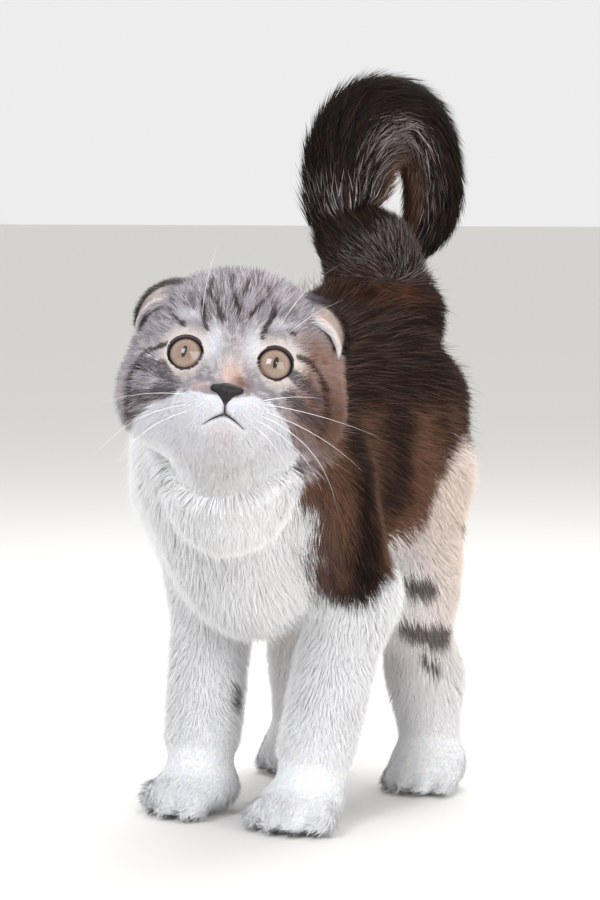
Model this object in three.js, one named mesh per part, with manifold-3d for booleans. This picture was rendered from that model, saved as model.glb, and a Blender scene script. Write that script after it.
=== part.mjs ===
// A life-size model of a Scottish Fold kitten of about three months. It stands on all four feet
// with its back arched, its head turned to its left and lifted, and its tail curled over in a loop.
// Sizes are in millimetres and +Z is up. The kitten faces -Y, its left side is +X, and the origin
// is on the floor below the middle of the model.
//
// The flesh is one distance function, made of rounded forms that run smoothly into each other.
// It follows the outside of the coat. Each part is a closed net over that surface, cut from its
// neighbours by planes with a thin gap.

import * as THREE from "three";
import { mergeVertices } from "three/addons/utils/BufferGeometryUtils.js";
import Module from "manifold-3d";

const wasm = await Module();
wasm.setup();

// Driving dimensions

const GAP = 0.3; // clear space between touching parts
const SIDES = { left: 1, right: -1 };
const DEGREE = Math.PI / 180;

// Head: its middle, its turn, and sizes along its own axes (x to its left, y backwards, z up)
const HEAD = { middle: [31, -83, 177.5], turn: 33, lift: 19, tip: 7.3 };
const SKULL = { middle: [0, 2, 5], radii: [38, 37, 32] };
const CHEEK = { middle: [18, -7, -13], radii: [22.5, 24, 20] };
const BROW = { middle: [15, -19, 9], radii: [15, 13.5, 12] };
const EYE = { middle: [14.7, -24, -3], radius: 9, splay: 8 };
const SOCKET = { middle: [15.2, -36, -3.5], radii: [10.5, 6.5, 9.5] };
const LID = { thick: 1.5, wide: 7.4, high: 6.6 };
const BRIDGE = { from: [0, -22, -3], to: [0, -37, -15.5], thick: [12, 6.5] };
const PAD = { middle: [7, -33.5, -23], radii: [11, 11, 8.5] };
const CHIN = { middle: [0, -29.5, -31.5], radii: [9, 8.5, 6.5] };
const NOSE = { height: -19, wide: 10.8, high: 7.8, deep: 5, proud: 1.4, lean: 22 };
const NOSTRIL = { apart: 2.6, radii: [1.2, 2.4, 0.8] };
const MOUTH = { top: -26.5, corner: [7.6, -31.2], line: 0.8 };
// An ear hinges on the line from front to back and hangs forward to the edge from brow to tip
const EAR = {
  front: [18, -2, 35],
  back: [39, 13, 14],
  brow: [27, -21, 8],
  tip: [43, -11, 8.5],
  thick: 2,
  rise: 5.2,
  edge_rise: 3.6,
  cells: [9, 6],
};

// Trunk, from the chest to the rump: middle and radii
const CHEST = { middle: [0, -22, 132.5], radii: [38, 48, 62] };
const BELLY = { middle: [0, 22, 141], radii: [37, 50, 60] };
const RUMP = { middle: [0, 60, 156], radii: [39.5, 43, 50.5] };
const NECK = { from: [1, -38, 148], to: [25, -70, 170], thick: [37, 34] };

// Legs: joint places for the left side of the body, then how each foot is set
const FORE_LEG = {
  shoulder: [29, -26, 128],
  elbow: [32, -5, 88],
  wrist: [27, -21.5, 30],
  radii: [23, 18, 15.8],
  cut: 68,
};
const HIND_LEG = {
  hip: [20, 57, 126],
  knee: [27, 43, 88],
  hock: [28.8, 58.5, 46],
  ankle: [31.5, 57.5, 16],
  radii: [28.5, 20.5, 13.5, 13.5],
};
const PAW = { half_wide: 17.5, half_long: 18.5, high: 12, sunk: 1.8, toe: 7 };
const FEET = {
  forepaw_left: { place: [25.5, -30], turn: 8, size: 1 },
  forepaw_right: { place: [-23.5, -30], turn: -24, size: 1 },
  hindpaw_left: { place: [32, 53.5], turn: 10, size: 0.86 },
  hindpaw_right: { place: [-30, 56], turn: 0, size: 0.86 },
};

// Tail: an upright loop across the body, from its root on the rump round to its tip
const TAIL = {
  middle: [2, 71.5, 243.5],
  half_wide: 19.2,
  half_high: 31,
  heading: 34,
  from: -66,
  to: 246,
  drift: 24,
  thick: [17, 16.5, 17, 18.5, 16, 13, 12, 3],
  steps: 24,
  cuts: [0, 0.26, 0.5, 0.75],
};
// The tail's long coat: rings of flat tapered locks on a core half as thick as the coat
const LOCK = {
  core: 0.5,
  core_end: 0.94,
  first: 0.02,
  step: 0.125,
  rings: 8,
  around: 6,
  long: 36,
  half_wide: [7, 8.6, 5.4],
  half_thick: [2.3, 1.9, 1.1],
  sunk: 1.8,
  ruffle: 0.12,
  clear: 0.55,
};

// Sizes of the cells of the nets
const HEAD_CELLS = [3.1, 6.6];
const TRUNK_CELL = 9;
const NECK_CELL = 8;
const LEG_CELL = 8;
const PAW_CELL = 5.2;
const TAIL_CELL = 7.5;

const SHORTEST = { face: 0.5, body: 1.2, locks: 2.4 }; // edges below this are drawn together

// Small vector helpers

const add = (a, b) => a.map((v, i) => v + b[i]);
const scale = (a, s) => a.map((v) => v * s);
const dot = (a, b) => a[0] * b[0] + a[1] * b[1] + a[2] * b[2];
const subtract = (a, b) => a.map((v, i) => v - b[i]);
const unit = (a) => scale(a, 1 / Math.hypot(...a));
const mirrored = (a, side) => [a[0] * side, a[1], a[2]];
const mix = (a, b, t) => a.map((v, i) => v + (b[i] - v) * t);
const clamp = THREE.MathUtils.clamp;

// The head's own frame in the body's frame
const headTurn = new THREE.Matrix4()
  .makeRotationZ(HEAD.turn * DEGREE)
  .multiply(new THREE.Matrix4().makeRotationX(-HEAD.lift * DEGREE))
  .multiply(new THREE.Matrix4().makeRotationY(HEAD.tip * DEGREE));
const headFrame = new THREE.Matrix4()
  .makeTranslation(...HEAD.middle)
  .multiply(headTurn);
const headInverse = headFrame.clone().invert();
const moved = (p, matrix) => new THREE.Vector3(...p).applyMatrix4(matrix).toArray();
const toHead = (p) => moved(p, headInverse);
const fromHead = (p) => moved(p, headFrame);

// Distance functions of the basic forms

function ellipsoid(p, middle, radii) {
  const x = (p[0] - middle[0]) / radii[0];
  const y = (p[1] - middle[1]) / radii[1];
  const z = (p[2] - middle[2]) / radii[2];
  const near = Math.sqrt(x * x + y * y + z * z);
  const slope = Math.sqrt((x / radii[0]) ** 2 + (y / radii[1]) ** 2 + (z / radii[2]) ** 2);
  return slope < 1e-9 ? -Math.min(...radii) : (near * (near - 1)) / slope;
}

// A round bar from a to b whose radius changes evenly
function bar(p, a, b, ra, rb) {
  const [ux, uy, uz] = [b[0] - a[0], b[1] - a[1], b[2] - a[2]];
  const [x, y, z] = [p[0] - a[0], p[1] - a[1], p[2] - a[2]];
  const t = clamp((x * ux + y * uy + z * uz) / (ux * ux + uy * uy + uz * uz), 0, 1);
  const square = (x - ux * t) ** 2 + (y - uy * t) ** 2 + (z - uz * t) ** 2;
  return Math.sqrt(square) - (ra + (rb - ra) * t);
}

// Joins two distances with a fillet about as wide as soft, and cuts one from another the same way
function join(a, b, soft) {
  const h = Math.max(soft - Math.abs(a - b), 0) / soft;
  return Math.min(a, b) - (h * h * soft) / 4;
}
const cut = (a, b, soft) => -join(-a, b, soft);

function chain(p, places, radii, soft) {
  let d = Infinity;
  for (let i = 0; i + 1 < places.length; i++) {
    const piece = bar(p, places[i], places[i + 1], radii[i], radii[i + 1]);
    d = i ? join(d, piece, soft) : piece;
  }
  return d;
}

// The forms of the kitten

function skullForm(q) {
  let d = ellipsoid(q, SKULL.middle, SKULL.radii);
  for (const side of Object.values(SIDES)) {
    d = join(d, ellipsoid(q, mirrored(CHEEK.middle, side), CHEEK.radii), 14);
    d = join(d, ellipsoid(q, mirrored(BROW.middle, side), BROW.radii), 8);
  }
  return d;
}

function headForm(q) {
  let d = skullForm(q);
  for (const side of Object.values(SIDES))
    d = cut(d, ellipsoid(q, mirrored(SOCKET.middle, side), SOCKET.radii), 6);
  d = join(d, bar(q, BRIDGE.from, BRIDGE.to, ...BRIDGE.thick), 9);
  for (const side of Object.values(SIDES))
    d = join(d, ellipsoid(q, mirrored(PAD.middle, side), PAD.radii), 5);
  return join(d, ellipsoid(q, CHIN.middle, CHIN.radii), 4);
}

function trunkForm(p) {
  let d = ellipsoid(p, CHEST.middle, CHEST.radii);
  d = join(d, ellipsoid(p, BELLY.middle, BELLY.radii), 25);
  return join(d, ellipsoid(p, RUMP.middle, RUMP.radii), 25);
}

function pawForm(p, foot) {
  const s = foot.size;
  const turn = foot.turn * DEGREE;
  const x = p[0] - foot.place[0];
  const y = p[1] - foot.place[1];
  const q = [
    x * Math.cos(turn) + y * Math.sin(turn),
    -x * Math.sin(turn) + y * Math.cos(turn),
    p[2] + PAW.sunk,
  ];
  const radii = [PAW.half_wide * s, PAW.half_long * s, PAW.high * s];
  let d = ellipsoid(q, [0, 0, PAW.high * s], radii);
  for (const place of [-1.5, -0.5, 0.5, 1.5]) {
    const reach = Math.abs(place) < 1 ? 0.72 : 0.5; // the middle toes stand forward
    const middle = [
      place * PAW.half_wide * s * 0.52,
      -PAW.half_long * s * reach,
      PAW.toe * s * 1.1,
    ];
    const toe = [PAW.toe * s * 0.95, PAW.toe * s * 1.2, PAW.toe * s * 1.1];
    d = join(d, ellipsoid(q, middle, toe), 2.5);
  }
  return d;
}

function legForms(p) {
  const legs = [];
  for (const [name, side] of Object.entries(SIDES)) {
    const { shoulder, elbow, wrist } = FORE_LEG;
    const fore = [shoulder, elbow, wrist].map((v) => mirrored(v, side));
    legs.push(
      join(
        chain(p, fore, FORE_LEG.radii, 10),
        pawForm(p, FEET["forepaw_" + name]),
        6,
      ),
    );
    const { hip, knee, hock, ankle } = HIND_LEG;
    const hind = [hip, knee, hock, ankle].map((v) => mirrored(v, side));
    legs.push(
      join(
        chain(p, hind, HIND_LEG.radii, 14),
        pawForm(p, FEET["hindpaw_" + name]),
        6,
      ),
    );
  }
  return legs;
}

const awayWay = [-Math.sin(TAIL.heading * DEGREE), Math.cos(TAIL.heading * DEGREE), 0];

// Where the middle of the tail runs, from 0 at the root to 1 at the tip, and how thick it is
function tailPlace(t) {
  const angle = (TAIL.from + (TAIL.to - TAIL.from) * t) * DEGREE;
  const heading = TAIL.heading * DEGREE;
  const across = -Math.cos(angle) * TAIL.half_wide;
  const away = (t - 0.5) * TAIL.drift;
  return add(TAIL.middle, [
    across * Math.cos(heading) - away * Math.sin(heading),
    across * Math.sin(heading) + away * Math.cos(heading),
    Math.sin(angle) * TAIL.half_high,
  ]);
}
const TAIL_LONG = 140; // along its middle

// The direction of the tail at a station, the one out from the loop, and the one across both
function tailFrame(t) {
  const near = clamp(t, 0.01, 0.99);
  const way = unit(subtract(tailPlace(near + 0.01), tailPlace(near - 0.01)));
  const spoke = subtract(tailPlace(near), add(TAIL.middle, scale(awayWay, (near - 0.5) * TAIL.drift)));
  const out = unit(subtract(spoke, scale(way, dot(spoke, way))));
  return { way, out, side: new THREE.Vector3(...way).cross(new THREE.Vector3(...out)).toArray() };
}
function tailThick(t) {
  const along = clamp(t, 0, 1) * (TAIL.thick.length - 1);
  const n = Math.min(Math.floor(along), TAIL.thick.length - 2);
  return TAIL.thick[n] + (TAIL.thick[n + 1] - TAIL.thick[n]) * (along - n);
}

const tailStations = Array.from({ length: TAIL.steps + 1 }, (_, i) => i / TAIL.steps);
const tailPlaces = tailStations.map(tailPlace);
const tailRadii = tailStations.map(tailThick);

// The core under the locks: as thick as the coat at the root, then half as thick
function coreThick(t) {
  const gone = clamp((t - 0.02) / 0.11, 0, 1);
  return tailThick(t) * (1 + (LOCK.core - 1) * gone * gone * (3 - 2 * gone));
}
const tailForm = (p) => chain(p, tailPlaces, tailRadii, 3);

// The whole kitten. A form is left out where it is too far off to matter.
function bodyForm(p) {
  let d = join(trunkForm(p), bar(p, NECK.from, NECK.to, ...NECK.thick), 20);
  if (p[1] < 10) d = join(d, headForm(toHead(p)), 8);
  if (p[2] < 190) for (const leg of legForms(p)) d = join(d, leg, 12);
  if (p[2] > 175) d = join(d, tailForm(p), 6);
  return d;
}

// Solids from corners and triangles, or from a three.js geometry

function closed(corners, triangles) {
  return new wasm.Manifold(
    new wasm.Mesh({
      numProp: 3,
      vertProperties: new Float32Array(corners.flat()),
      triVerts: new Uint32Array(triangles),
    }),
  );
}

function solidOf(geometry) {
  const bare = geometry.clone();
  bare.deleteAttribute("normal");
  bare.deleteAttribute("uv");
  const merged = mergeVertices(bare, 1e-4);
  return new wasm.Manifold(
    new wasm.Mesh({
      numProp: 3,
      vertProperties: new Float32Array(merged.attributes.position.array),
      triVerts: new Uint32Array(merged.index.array),
    }),
  );
}

// Nets

const spaced = (low, high, cell) => {
  const count = Math.ceil((high - low) / cell);
  return Array.from({ length: count + 1 }, (_, i) => low + ((high - low) * i) / count);
};

// Wraps the zero surface of a distance function in a closed net of triangles, one corner in each
// crossed cell of the grid, settles the corners on the surface and moves them by the frame
function net(distance, walls, frame) {
  const [nx, ny, nz] = walls.map((w) => w.length);
  const at = (i, j, k) => i + nx * (j + ny * k);
  const value = new Float32Array(nx * ny * nz);
  for (let k = 0; k < nz; k++)
    for (let j = 0; j < ny; j++)
      for (let i = 0; i < nx; i++) {
        const edge =
          i === 0 || j === 0 || k === 0 || i === nx - 1 || j === ny - 1 || k === nz - 1;
        const d = distance([walls[0][i], walls[1][j], walls[2][k]]);
        value[at(i, j, k)] = edge ? Math.max(d, 0.01) : d;
      }

  const corners = [];
  const cornerOf = new Int32Array(nx * ny * nz).fill(-1);
  for (let k = 0; k + 1 < nz; k++)
    for (let j = 0; j + 1 < ny; j++)
      for (let i = 0; i + 1 < nx; i++) {
        const sum = [0, 0, 0];
        let crossings = 0;
        for (let axis = 0; axis < 3; axis++)
          for (let n = 0; n < 4; n++) {
            const a = [i, j, k];
            a[(axis + 1) % 3] += n & 1;
            a[(axis + 2) % 3] += n >> 1;
            const b = [...a];
            b[axis] += 1;
            const va = value[at(...a)];
            const vb = value[at(...b)];
            if (va < 0 === vb < 0) continue;
            const place = (c) => c.map((v, m) => walls[m][v]);
            const crossing = mix(place(a), place(b), va / (va - vb));
            crossing.forEach((v, m) => (sum[m] += v));
            crossings++;
          }
        if (!crossings) continue;
        cornerOf[at(i, j, k)] = corners.length;
        corners.push(scale(sum, 1 / crossings));
      }

  const quads = [];
  for (let axis = 0; axis < 3; axis++) {
    const first = [1, 1, 1];
    first[axis] = 0;
    for (let k = first[2]; k + 1 < nz; k++)
      for (let j = first[1]; j + 1 < ny; j++)
        for (let i = first[0]; i + 1 < nx; i++) {
          const a = [i, j, k];
          const b = [...a];
          b[axis] += 1;
          const inside = value[at(...a)] < 0;
          if (inside === value[at(...b)] < 0) continue;
          const step = [
            [0, 0],
            [1, 0],
            [1, 1],
            [0, 1],
          ];
          const ring = step.map(([u, v]) => {
            const c = [...a];
            c[(axis + 1) % 3] -= u;
            c[(axis + 2) % 3] -= v;
            return cornerOf[at(...c)];
          });
          quads.push(inside ? ring : ring.reverse());
        }
  }

  const pinch = 0.37; // a grid whose net touches itself along an edge is moved by this and tried again
  if (touchesItself(quads)) {
    const shifted = walls.map((w) => w.map((v) => v + pinch));
    return net(distance, shifted, frame);
  }
  settle(distance, corners, quads, walls);
  const triangles = [];
  for (const [a, b, c, d] of quads) {
    const across = (m, n) => Math.hypot(...subtract(corners[m], corners[n]));
    if (across(a, c) < across(b, d)) triangles.push(a, b, c, a, c, d);
    else triangles.push(a, b, d, b, c, d);
  }
  return closed(frame ? corners.map((p) => moved(p, frame)) : corners, triangles);
}

function touchesItself(quads) {
  const uses = new Map();
  for (const quad of quads)
    quad.forEach((a, n) => {
      const b = quad[(n + 1) % 4];
      const key = Math.min(a, b) + ":" + Math.max(a, b);
      uses.set(key, (uses.get(key) ?? 0) + 1);
    });
  return [...uses.values()].some((count) => count > 2);
}

// Evens out the net and brings its corners onto the surface, apart from those on its cut-off ends
function settle(distance, corners, quads, walls) {
  const reach = Math.max(...walls.map((w) => w[1] - w[0]));
  const small = 0.3;
  const slope = (p) =>
    [0, 1, 2].map((m) => {
      const step = [0, 0, 0];
      step[m] = small;
      return (distance(add(p, step)) - distance(subtract(p, step))) / (2 * small);
    });
  const onto = (p) => {
    const d = distance(p);
    if (Math.abs(d) > reach * 0.6) return p;
    const g = slope(p);
    const steepness = Math.max(dot(g, g), 0.25);
    return subtract(p, scale(g, d / steepness));
  };
  for (let round = 0; round < 3; round++) {
    const sums = corners.map(() => [0, 0, 0, 0]);
    for (const quad of quads)
      quad.forEach((from, n) => {
        const to = corners[quad[(n + 1) % 4]];
        to.forEach((v, m) => (sums[from][m] += v));
        sums[from][3]++;
      });
    corners.forEach((p, n) => {
      if (Math.abs(distance(p)) > reach * 0.6) return;
      const mean = scale(sums[n].slice(0, 3), 1 / sums[n][3]);
      corners[n] = onto(onto(mix(p, mean, 0.5)));
    });
  }
}

// Cutting

function largest(solid) {
  const bodies = solid.decompose();
  return bodies.reduce((a, b) => (b.volume() > a.volume() ? b : a));
}

// Keeps what is past each plane, in the direction of its normal, at least the given distance away
function keep(solid, planes, distance = GAP / 2) {
  return planes.reduce((kept, plane) => {
    const normal = unit(plane.normal);
    return kept.trimByPlane(normal, dot(normal, plane.point) + distance);
  }, solid);
}
const opposite = (plane) => ({ point: plane.point, normal: scale(plane.normal, -1) });

// The space past all the planes, widened by half the gap, to be cut from a neighbour
function space(planes) {
  const all = solidOf(new THREE.BoxGeometry(400, 400, 700));
  return keep(all, planes, -GAP / 2);
}

const floor = { point: [0, 0, 0], normal: [0, 0, 1] };
const beside = (side) => ({ point: [0, 0, 0], normal: [side, 0, 0] });

// Where each part meets the next, with the plane's normal pointing away from the trunk
const neckWay = subtract(NECK.to, NECK.from);
const throat = { point: [6, -46, 153], normal: neckWay };
const nape = { point: [22, -66, 168], normal: neckWay };
const rumpTop = { point: [0, 0, 208], normal: [0, 0, 1] };
const between = { point: [0, 17, 0], normal: [0, 1, 0] };
const legPlanes = (side, fore) =>
  fore
    ? [
        { point: [side * 18, -22, 92], normal: [side * 0.6, -0.3, -0.75] },
        beside(side),
        opposite(between),
        opposite(throat),
      ]
    : [
        { point: [side * 18, 52, 96], normal: [side * 0.62, 0.3, -0.7] },
        beside(side),
        between,
      ];
const across = (from, to, t, lean = [0, 0, 0]) => ({
  point: mix(from, to, t),
  normal: add(unit(subtract(to, from)), lean),
});
const tailPlane = (t) => across(tailPlace(t - 0.01), tailPlace(t + 0.01), 0.5);

// Draws the short edges that cutting leaves together, where the form stays as it was
function tidied(solid, shortest) {
  const mesh = solid.getMesh();
  const corners = Array.from({ length: mesh.numVert }, (_, n) =>
    Array.from(mesh.vertProperties.subarray(n * mesh.numProp, n * mesh.numProp + 3)),
  );
  const triangles = Array.from({ length: mesh.numTri }, (_, n) =>
    Array.from(mesh.triVerts.subarray(n * 3, n * 3 + 3)),
  );
  const around = corners.map(() => new Set());
  triangles.forEach((triangle, n) => triangle.forEach((c) => around[c].add(n)));
  const facing = (triangle) => {
    const [a, b, c] = triangle.map((n) => corners[n]);
    const [u, v] = [subtract(b, a), subtract(c, a)];
    return [
      u[1] * v[2] - u[2] * v[1],
      u[2] * v[0] - u[0] * v[2],
      u[0] * v[1] - u[1] * v[0],
    ];
  };
  const turned = (a, b) => dot(a, b) < 0.85 * Math.hypot(...a) * Math.hypot(...b);
  const large = (normal) => Math.hypot(...normal) > 1e-3;
  const far = (a, b) => Math.hypot(...subtract(corners[a], corners[b]));
  const sharing = (m, n) => [...around[n]].filter((t) => triangles[t].includes(m));
  const isSharp = (m, n) => {
    const [one, other] = sharing(m, n).map((t) => facing(triangles[t]));
    return turned(one, other);
  };
  // 0 on a smooth face, 1 along a sharp edge, 2 at a point where sharp edges meet or end
  const rank = corners.map((_, n) => {
    const near = new Set([...around[n]].flatMap((t) => triangles[t]));
    near.delete(n);
    const count = [...near].filter((m) => isSharp(m, n)).length;
    return count === 0 ? 0 : count === 2 ? 1 : 2;
  });

  const edges = [];
  for (const [a, b, c] of triangles)
    for (const [m, n] of [
      [a, b],
      [b, c],
      [c, a],
    ])
      if (m < n && far(m, n) < shortest) edges.push([m, n]);
  edges.sort((a, b) => far(...a) - far(...b));
  for (const [m, n] of edges) {
    const [stays, goes] = rank[n] > rank[m] ? [n, m] : [m, n];
    const shared = sharing(stays, goes);
    if (shared.length !== 2) continue;
    const tiny = far(m, n) < 0.02;
    if (!tiny && (rank[goes] === 2 || (rank[goes] === 1 && !isSharp(m, n)))) continue;
    const near = (c) => new Set([...around[c]].flatMap((t) => triangles[t]));
    const beyond = near(goes);
    const common = [...near(stays)].filter((c) => c !== stays && c !== goes && beyond.has(c));
    if (common.length !== 2) continue;
    const rest = [...around[goes]].filter((t) => !shared.includes(t));
    const moves = rest.map((t) => [
      facing(triangles[t]),
      facing(triangles[t].map((c) => (c === goes ? stays : c))),
    ]);
    if (moves.some(([was, is]) => !large(is) || (large(was) && turned(was, is)))) continue;
    for (const t of shared) for (const c of triangles[t]) around[c].delete(t);
    for (const t of rest) {
      triangles[t] = triangles[t].map((c) => (c === goes ? stays : c));
      around[stays].add(t);
    }
    around[goes].clear();
    for (const t of shared) triangles[t] = null;
  }
  const order = new Map();
  const kept = triangles.filter(Boolean);
  for (const c of kept.flat()) if (!order.has(c)) order.set(c, order.size);
  return closed(
    [...order.keys()].map((c) => corners[c]),
    kept.flat().map((c) => order.get(c)),
  );
}

// The grid walls round a part
const grid = (low, high, cell) => low.map((v, m) => spaced(v, high[m], cell));

const solids = new Map();

function makeTrunk() {
  let trunk = net(bodyForm, grid([-60, -90, 60], [60, 122, 232], TRUNK_CELL));
  trunk = keep(trunk, [opposite(throat), opposite(rumpTop)]);
  for (const side of Object.values(SIDES)) {
    trunk = trunk.subtract(space(legPlanes(side, true)));
    trunk = trunk.subtract(space(legPlanes(side, false)));
  }
  solids.set("trunk", trunk);
}

function makeNeck() {
  const whole = net(bodyForm, grid([-50, -125, 100], [75, -10, 225], NECK_CELL));
  solids.set("neck", keep(whole, [throat, opposite(nape)]));
}

function makeLegs() {
  for (const [name, side] of Object.entries(SIDES)) {
    const ends = (low, high) => (side > 0 ? [low, high] : [-high, -low]);
    const [left, right] = ends(-6, 66);
    const place = (v) => mirrored(v, side);

    const fore = keep(
      net(bodyForm, grid([left, -78, -6], [right, 24, 150], LEG_CELL)),
      legPlanes(side, true),
    );
    const elbow = { point: [0, 0, FORE_LEG.cut], normal: [0, 0, -1] };
    const wrist = across(place(FORE_LEG.elbow), place(FORE_LEG.wrist), 0.97);
    solids.set("upper_foreleg_" + name, keep(fore, [opposite(elbow)]));
    solids.set("lower_foreleg_" + name, keep(fore, [elbow, opposite(wrist)]));

    const hind = keep(
      net(bodyForm, grid([left, 6, -6], [right, 112, 170], LEG_CELL)),
      legPlanes(side, false),
    );
    const knee = across(place(HIND_LEG.knee), place(HIND_LEG.hock), 0.3);
    const ankle = across(place(HIND_LEG.hock), place(HIND_LEG.ankle), 0.55);
    solids.set("thigh_" + name, keep(hind, [opposite(knee)]));
    solids.set("shank_" + name, keep(hind, [knee, opposite(ankle)]));

    for (const [paw, plane] of [
      ["forepaw_" + name, wrist],
      ["hindpaw_" + name, ankle],
    ]) {
      const [x, y] = FEET[paw].place;
      const around = grid([x - 27, y - 32, -5], [x + 27, y + 30, 40], PAW_CELL);
      const foot = keep(net(bodyForm, around), [plane]);
      solids.set(paw, keep(foot, [floor], 0));
    }
  }
}

function makeTail() {
  const names = ["tail_root", "tail_rise", "tail_bend", "tail_tip"];
  let before = null;
  names.forEach((name, n) => {
    const last = n + 1 === names.length;
    const from = n ? TAIL.cuts[n] : 0;
    const to = last ? LOCK.core_end : TAIL.cuts[n + 1];
    let part = net(coreForm(from, to, n === 0), tailWalls(from, to, TAIL_CELL));
    if (n) part = keep(part, [tailPlane(TAIL.cuts[n])]);
    if (!last) part = keep(part, [opposite(tailPlane(TAIL.cuts[n + 1]))]);
    let grown = null;
    for (let ring = 0; ring < LOCK.rings; ring++) {
      const t = LOCK.first + LOCK.step * ring;
      if (t < TAIL.cuts[n] || (!last && t >= TAIL.cuts[n + 1])) continue;
      for (let k = 0; k < LOCK.around; k++) {
        const theta = ((k + (ring % 2) / 2) / LOCK.around) * 2 * Math.PI;
        part = part.add(lock(t, theta, ring * 7 + k, 0));
        const wide = lock(t, theta, ring * 7 + k, LOCK.clear);
        grown = grown ? grown.add(wide) : wide;
      }
    }
    if (before) part = part.subtract(before);
    before = before ? before.add(grown) : grown;
    solids.set(name, keep(part, [rumpTop]));
  });
}

// The core of the tail between two stations, with a little more at each end
function coreForm(from, to, withRump) {
  const more = 0.08;
  const low = Math.max(from - more, 0);
  const high = Math.min(to + more, LOCK.core_end);
  const stations = spaced(low, high, 1 / TAIL.steps);
  const places = stations.map(tailPlace);
  const radii = stations.map(coreThick);
  return (p) => {
    const core = chain(p, places, radii, 3);
    return withRump ? join(trunkForm(p), core, 6) : core;
  };
}

// A flat lock that leaves the core at a station and lies back along the tail to a point
function lock(start, theta, seed, more) {
  const { long, half_wide, half_thick, sunk, ruffle } = LOCK;
  const inner = Math.max(-Math.cos(theta), 0); // 1 on the inside of the bend
  const loose = Math.sin(seed * 12.9898) * 43758.5453;
  const chance = loose - Math.floor(loose);
  const reach = (long * (1 - 0.35 * inner)) / TAIL_LONG;
  const at = (u) => {
    const t = start + reach * u;
    const frame = tailFrame(t);
    const place = tailPlace(t);
    const low = coreThick(start) - sunk;
    const high = tailThick(t) * (1 + ruffle * (chance - 0.5) * 2 * u * u) - 0.5;
    const rise = 1 - Math.max(1 - u, 0) ** 1.7;
    const way = add(scale(frame.out, Math.cos(theta)), scale(frame.side, Math.sin(theta)));
    const sideways = add(scale(frame.out, -Math.sin(theta)), scale(frame.side, Math.cos(theta)));
    return { middle: add(place, scale(way, low + (high - low) * rise)), way, sideways };
  };
  const stations = [0, 0.42, 0.78];
  const corners = [];
  stations.forEach((u, n) => {
    const { middle, way, sideways } = at(u);
    const w = half_wide[n] * (0.85 + 0.3 * chance) + more;
    const h = half_thick[n] + more;
    corners.push(add(middle, scale(sideways, w)));
    corners.push(add(middle, scale(way, h)));
    corners.push(add(middle, scale(sideways, -w)));
    corners.push(add(middle, scale(way, -h)));
  });
  corners.push(at(1 + more * 0.02).middle);
  const triangles = [0, 1, 2, 0, 2, 3];
  for (let n = 0; n + 1 < stations.length; n++)
    for (let m = 0; m < 4; m++) {
      const [a, b] = [n * 4 + m, n * 4 + ((m + 1) % 4)];
      triangles.push(a, a + 4, b + 4, a, b + 4, b);
    }
  const end = (stations.length - 1) * 4;
  for (let m = 0; m < 4; m++) triangles.push(end + m, corners.length - 1, end + ((m + 1) % 4));
  const made = closed(corners, triangles);
  return made.volume() > 0 ? made : closed(corners, triangles.reverse());
}

function tailWalls(from, to, cell) {
  const places = spaced(from, to, 0.05).map(tailPlace);
  const margin = Math.max(...TAIL.thick) + 2 * cell;
  const low = [0, 1, 2].map((m) => Math.min(...places.map((p) => p[m])) - margin);
  const high = [0, 1, 2].map((m) => Math.max(...places.map((p) => p[m])) + margin);
  return grid(low, high, cell);
}

// Head, made in the head's own frame and then turned into place

// The flesh of the head and what is round it, with finer cells over the face
function headNet(more = 0) {
  const [fine, coarse] = HEAD_CELLS;
  const walls = [
    [...spaced(-54, -25, coarse), ...spaced(-25, 25, fine).slice(1, -1), ...spaced(25, 54, coarse)],
    [...spaced(-60, -24, fine), ...spaced(-24, 60, coarse).slice(1)],
    [...spaced(-60, -39, coarse), ...spaced(-39, 9, fine).slice(1, -1), ...spaced(9, 50, coarse)],
  ];
  return net((q) => bodyForm(fromHead(q)) - more, walls, headFrame);
}

// The skin of the face straight behind a place in front of it
function faceAt(x, z) {
  let [out, within] = [-75, -10];
  for (let n = 0; n < 24; n++) {
    const y = (out + within) / 2;
    if (headForm([x, y, z]) < 0) within = y;
    else out = y;
  }
  return within;
}

// The skin of the head on the way out from its middle through a place, and lifted off it
function overSkull(q, lift) {
  const way = unit(subtract(q, SKULL.middle));
  let [within, out] = [5, 90];
  for (let n = 0; n < 24; n++) {
    const far = (out + within) / 2;
    if (headForm(add(SKULL.middle, scale(way, far))) < 0) within = far;
    else out = far;
  }
  return add(SKULL.middle, scale(way, within + lift));
}

// A closed ring or bar that follows a list of places, with a round section
function rope(places, radii, sides, ring) {
  const rings = places.map((place, n) => {
    const last = places.length - 1;
    const before = places[ring ? (n + last) % places.length : Math.max(n - 1, 0)];
    const after = places[ring ? (n + 1) % places.length : Math.min(n + 1, last)];
    const way = new THREE.Vector3(...unit(subtract(after, before)));
    const first = new THREE.Vector3(0.31, 0.95, 0.05).cross(way).normalize();
    const second = way.clone().cross(first);
    return Array.from({ length: sides }, (_, m) => {
      const angle = (2 * Math.PI * m) / sides;
      return add(
        place,
        add(
          scale(first.toArray(), radii[n] * Math.cos(angle)),
          scale(second.toArray(), radii[n] * Math.sin(angle)),
        ),
      );
    });
  });
  const corners = rings.flat();
  const triangles = [];
  const joints = ring ? rings.length : rings.length - 1;
  for (let n = 0; n < joints; n++)
    for (let m = 0; m < sides; m++) {
      const a = n * sides + m;
      const b = n * sides + ((m + 1) % sides);
      const c = ((n + 1) % rings.length) * sides + ((m + 1) % sides);
      const d = ((n + 1) % rings.length) * sides + m;
      triangles.push(a, b, c, a, c, d);
    }
  if (!ring)
    for (let m = 1; m + 1 < sides; m++) {
      const end = (rings.length - 1) * sides;
      triangles.push(0, m + 1, m, end, end + m, end + m + 1);
    }
  return closed(corners, triangles);
}

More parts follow.
